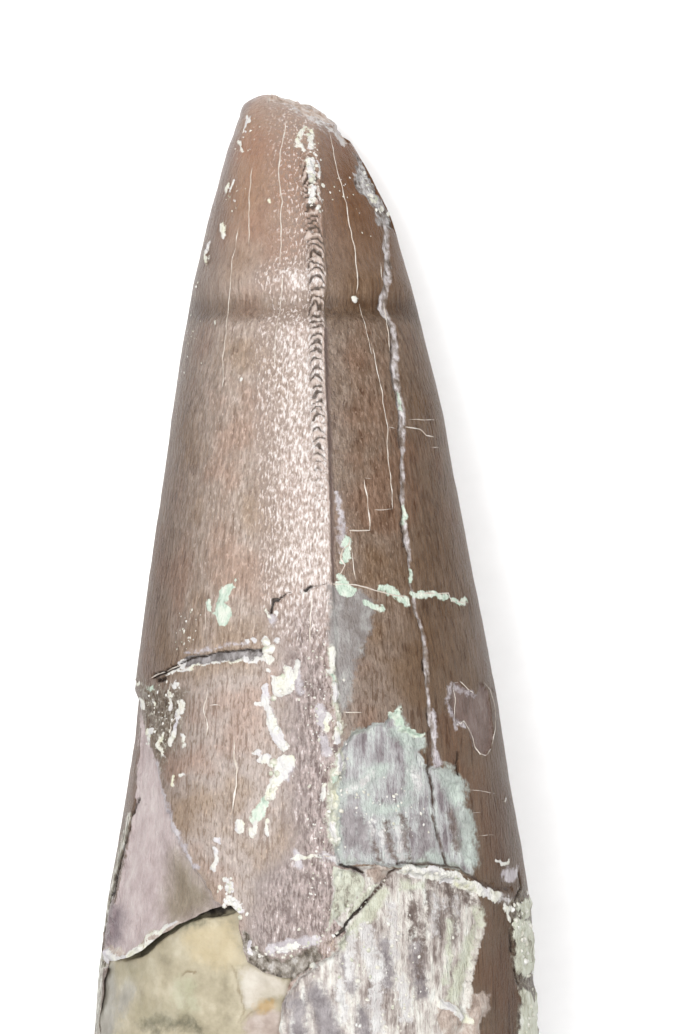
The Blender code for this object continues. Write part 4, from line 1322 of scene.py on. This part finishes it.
# Painted highlight: a pale wash and pale flecks left of the keel and on the band's hump.
base = painted(tree, base, "#cdbcb3", combine(tree, "MULTIPLY", painted_highlight, 0.6))
highlight_flecks = add(tree, "Math", {"operation": "MULTIPLY_ADD", 1: 0.14}, {0: painted_highlight, 2: fleck})[0]
base = flecked(tree, base, highlight_flecks, between(tree, painted_highlight, 0.05, 0.3), (
    (0.54, 0.46, "#a08a7d"), (0.59, 0.66, "#e2d2ca"), (0.68, 0.75, "#fff7f3"),
))
base = flecked(tree, base, strand, strip, (
    (0.49, 0.4, "#7b6661"), (0.5, 0.56, "#c0ada8"), (0.61, 0.68, "#f6ebe7"),
))
# Painted shade in the gaps between denticles, and a painted highlight on their tops.
base = painted(tree, base, "#4d3b2c", between(tree, mark(tree, "denticle_gap_shade"), 0.45, 0.85, 0.9))
base = painted(tree, base, "#ecd9cd", between(tree, mark(tree, "denticle"), 0.6, 1.0, 0.7))
print("with its enamel:", len(tree.nodes), "nodes")

# %% Damage and crusts, from the bottom layer up
LAYERS = (  # mark, pattern, colours, softness of the edge in mm, raggedness
    # The first two layers are painted shade down the keel's right drop and a painted highlight on
    # its edge.
    ("seam", mottle, ("#5e473c", "#725a4f", "#8a7368"), 0.06, 0.1),
    ("crest", speck, ("#c9b0a4", "#ead5ca"), 0.02, 0.04),
    ("film", mottle, ("#80756f", "#9a9390", "#bdbcb7"), 0.15, 0.7),
    ("upper_dentine", tissue, ("#8f8587", "#aca6a8", "#c3c1c1", "#d0d3d0", "#e3e8e3"), 0.04, 0.2),
    ("lower_dentine", tissue, ("#8f817b", "#b6aaa3", "#d8cfc8", "#f0eae1", "#fdfcf5"), 0.04, 0.15),
    ("spall", mottle, ("#bfaeac", "#d3c3c1", "#e4d7d4"), 0.03, 0.08),
    # Painted shade at the lower left of the flake scar.
    ("spall_shade", mottle, ("#85757a", "#a29294"), 0.3, 0.5),
    ("olive", mottle, ("#8a7c6a", "#9b8d7b", "#ab9e8c"), 0.7, 0.8),
    ("patch", mottle, ("#705c54", "#846f67", "#998882"), 0.03, 0.08),
    ("face", crumbs, ("#50463a", "#7b7062", "#aaa196", "#cfc9c2"), 0.06, 0.3),
    ("wear", crumbs, ("#9a7d66", "#bca08c", "#d8c2b2", "#f0e3da"), 0.08, 0.4),
    ("chip", crumbs, ("#6b5d55", "#958b84", "#bdb8b6", "#e6e2e0"), 0.04, 0.2),
    ("scab", speck, ("#5b4d42", "#766859", "#918477", "#cdc9bc"), 0.3, 0.9),
    ("lilac", mottle, ("#857b7d", "#9d9596", "#bab3b4"), 0.25, 0.9),
    ("brown", mottle, ("#6f605a", "#84766f", "#988a85"), 0.16, 0.9),
    ("haze", mottle, ("#b3a9ad", "#cdc5c8", "#ece6e9"), 0.08, 0.5),
    ("crack", crumbs, ("#75665b", "#a3978f", "#cdc4c2", "#f6eff0"), 0.04, 0.1),
    ("fill", crumbs, ("#655d5a", "#8f8886", "#bab4b4"), 0.03, 0.1),
    ("margin", crumbs, ("#98998f", "#b5b9b0", "#d5dcd3"), 0.1, 0.5),
    ("tinge", mottle, ("#abb0ab", "#c4ccc5", "#e2ede3"), 0.2, 0.8),
    ("lime", mottle, ("#bdb9a6", "#dcddc9", "#f1f2e4"), 0.12, 0.6),
    ("grit", crumbs, ("#5d5549", "#958e7e", "#cac5b6", "#f4f2ea"), 0.05, 0.5),
    ("white", mottle, ("#cfc8c5", "#e8e4e2", "#fcfbf9"), 0.14, 0.9),
    ("plate_bed", speck, ("#43362c", "#5f5044", "#857a6a", "#b4ad9b"), 0.05, 0.3),
    ("knob", mottle, ("#988579", "#cbbaae", "#efe7dd"), 0.05, 0.3),
    ("plate", mottle, ("#7b7060", "#d5d5c2", "#ebeddc", "#fafaf0"), 0.04, 0.2),
    ("mint", crumbs, ("#b9ccb9", "#d6e8d6", "#e7f3e3", "#f6faec"), 0.03, 0.3),
    ("cream", blotch, ("#ece6ec", "#f7f4f2", "#fdfbf0", "#f8f6d8"), 0.025, 0.3),
    ("fracture", mottle, ("#473931", "#63534a", "#8a7b72"), 0.05, 0.1),
    ("dark", speck, ("#201814", "#352922", "#5b4c41"), 0.025, 0.1),
)
base = layered(tree, base, LAYERS, speck)
tree.links.new(base, shader.inputs["Base Color"])
print("with", len(LAYERS), "layers:", len(tree.nodes), "nodes")

# %% Fine relief and gloss of the crown
wrinkles = pattern(tree, 5.0, (1, 0.3, 1), 4.0, 0.7)
bumpy(tree, shader, ((wrinkles, 1.0, 0.1), (fleck, 0.8, 0.1), (speck, 0.7, 0.05)))
matt = cover(tree, "upper_dentine", 0.04, 0.2, speck)
for name in ("lower_dentine", "cream", "mint", "margin", "chip", "white", "plate", "tinge"):
    matt = combine(tree, "MAXIMUM", matt, cover(tree, name, 0.04, 0.3, speck))
gloss = add(tree, "MapRange", {"To Min": 0.3, "To Max": 0.6}, {0: matt})
tree.links.new(gloss[0], shader.inputs["Roughness"])
left, right = between(tree, side, -7.0, -3.0), between(tree, side, 1.5, 0.1)
rubbed = combine(tree, "MULTIPLY", left, right)
sheen = add(tree, "MapRange", {"To Min": 0.04, "To Max": 0.4}, {0: rubbed})
tree.links.new(sheen[0], shader.inputs["Specular IOR Level"])
shader.inputs["IOR"].default_value = 1.55
crown.data.materials.append(enamel)
print(enamel.name, "in all:", len(tree.nodes), "nodes")

# %% Siltstone material
siltstone, tree, shader = new_material("olive_siltstone")
lumps = pattern(tree, 0.7, (1, 1, 1), 6.0, 0.6)
grit = pattern(tree, 6.0)
tone = palette(tree, lumps, ("#9f947a", "#b4a98d", "#c5ba9e", "#d5cbb2"))
PATCHES = (
    ("grey", lumps, ("#938d80", "#aaa497", "#c3bfb3"), 0.3, 0.8),
    ("warm", lumps, ("#c3b48f", "#cfbf9b", "#dacba9"), 0.4, 0.9),
    ("shade", lumps, ("#a09678", "#b3a98c", "#c3baa0"), 0.4, 0.9),
    ("pale", lumps, ("#c4baa6", "#d1c7b7", "#dfd7c9"), 0.24, 0.6),
    ("pink", lumps, ("#9f8c80", "#bba99d", "#d9ccc2"), 0.2, 0.6),
    ("orange", lumps, ("#b3945f", "#c4a87c", "#d2bd98"), 0.16, 0.5),
    ("crease", grit, ("#958566", "#ab9b7c"), 0.05, 0.1),
    ("moss", lumps, ("#bab797", "#c7c3a6", "#d4d0b6"), 0.25, 0.7),
    ("smear", lumps, ("#5b5541", "#767058", "#979178"), 0.26, 0.5),
    # Painted shadow under the overhanging edge of the wall.
    ("gap_shadow", grit, ("#1f1812", "#3a2f25", "#5d5040"), 0.08, 0.2),
)
tone = layered(tree, tone, PATCHES, grit)
tree.links.new(tone, shader.inputs["Base Color"])
bumpy(tree, shader, ((grit, 0.6, 0.05),))
shader.inputs["Roughness"].default_value = 0.6
core.data.materials.append(siltstone)
print(siltstone.name, "with", len(PATCHES), "patches:", len(tree.nodes), "nodes")


# %% Calcite materials
def calcite(piece, name, scale, detail, colours, roughness):
    """A pale mineral in clouds of close colours."""
    material, tree, shader = new_material(name)
    tone = palette(tree, pattern(tree, scale, detail=detail), colours)
    tree.links.new(tone, shader.inputs["Base Color"])
    shader.inputs["Roughness"].default_value = roughness
    piece.data.materials.append(material)
    print(name, "in", len(colours), "colours")


calcite(veins, "vein_calcite", 2.5, 4.0, ("#cdbdad", "#e3d7ca", "#f7f0e7"), 0.45)
calcite(
    grains, "grain_calcite", 1.6, 3.0, ("#c6cdb4", "#dfdacb", "#f0ede4", "#faf9f5"), 0.4
)

# %% [markdown]
# ## Floor, light and camera
#
# A white sheet under a large soft light gives the plain bright ground of a specimen
# photograph. The key light stands up and to the left, which puts the long satin highlight on
# the left face of the crown, and a bright room fills the shadows. The camera looks square at
# the upper face from about 21 cm with a long lens.

# %% Floor
FLOOR_HALF = 1.5
FLOOR_DROP = 0.0001  # keeps the paper clear of the flats it carries
floor_mesh = bmesh.new()
bmesh.ops.create_grid(floor_mesh, x_segments=1, y_segments=1, size=FLOOR_HALF)
floor = as_object("studio_floor", floor_mesh)
floor.location.z = -FLOOR_DROP
paper, tree, shader = new_material("matt_white_paper")
fibre = add(tree, "TexNoise", {"Scale": 900.0, "Detail": 2.0},
            {"Vector": add(tree, "TexCoord")["Object"]})[0]
white = add(tree, "MixRGB", {"Color1": linear("#f4f4f4"), "Color2": linear("#fbfbfb")},
            {"Fac": fibre})
tree.links.new(white[0], shader.inputs["Base Color"])
shader.inputs["Roughness"].default_value = 0.9
floor.data.materials.append(paper)
print("floor:", 2 * FLOOR_HALF, "m wide")

# %% Light
ROOM_STRENGTH = 0.45
AIM = (0.0, 0.0, 0.012)
LIGHTS = (  # name, place and size in metres, watts
    ("key_light", (-0.15, 0.13, 0.43), (0.12, 0.18), 1.9),
    ("overhead_light", (-0.08, 0.1, 0.5), (0.7, 0.7), 3.0),
    ("right_fill_light", (0.3, 0.05, 0.34), (0.4, 0.4), 1.2),
)
world = bpy.data.worlds.new("soft_room")
scene.world = world
world.use_nodes = True
room = world.node_tree.nodes["Background"].inputs
room["Color"].default_value = (1.0, 1.0, 1.0, 1.0)
room["Strength"].default_value = ROOM_STRENGTH


def softbox(name, place, size, watts):
    """A soft rectangular light at a place, facing the tooth."""
    light = bpy.data.lights.new(name, "AREA")
    light.shape = "RECTANGLE"
    light.size, light.size_y = size
    light.energy = watts
    obj = bpy.data.objects.new(name, light)
    obj.location = place
    obj.rotation_euler = (Vector(AIM) - Vector(place)).to_track_quat("-Z", "Y").to_euler()
    scene.collection.objects.link(obj)


for light in LIGHTS:
    softbox(*light)
print("lights:", [name for name, *_ in LIGHTS])

# %% Camera
CAMERA_AT = (1.574 * MM, 43.946 * MM, 216.96 * MM)
LENS, SENSOR = 180.0, 36.0  # in millimetres
NEAREST = 0.01
camera_data = bpy.data.cameras.new("camera")
camera_data.lens = LENS
camera_data.sensor_width = SENSOR
camera_data.clip_start = NEAREST
camera = bpy.data.objects.new("camera", camera_data)
camera.location = CAMERA_AT
camera.rotation_euler = (LAY_TURN, 0.0, 0.0)
scene.collection.objects.link(camera)
scene.camera = camera
scene.view_settings.view_transform = "Standard"
print("camera:", round(CAMERA_AT[2] / MM), "mm above the floor")
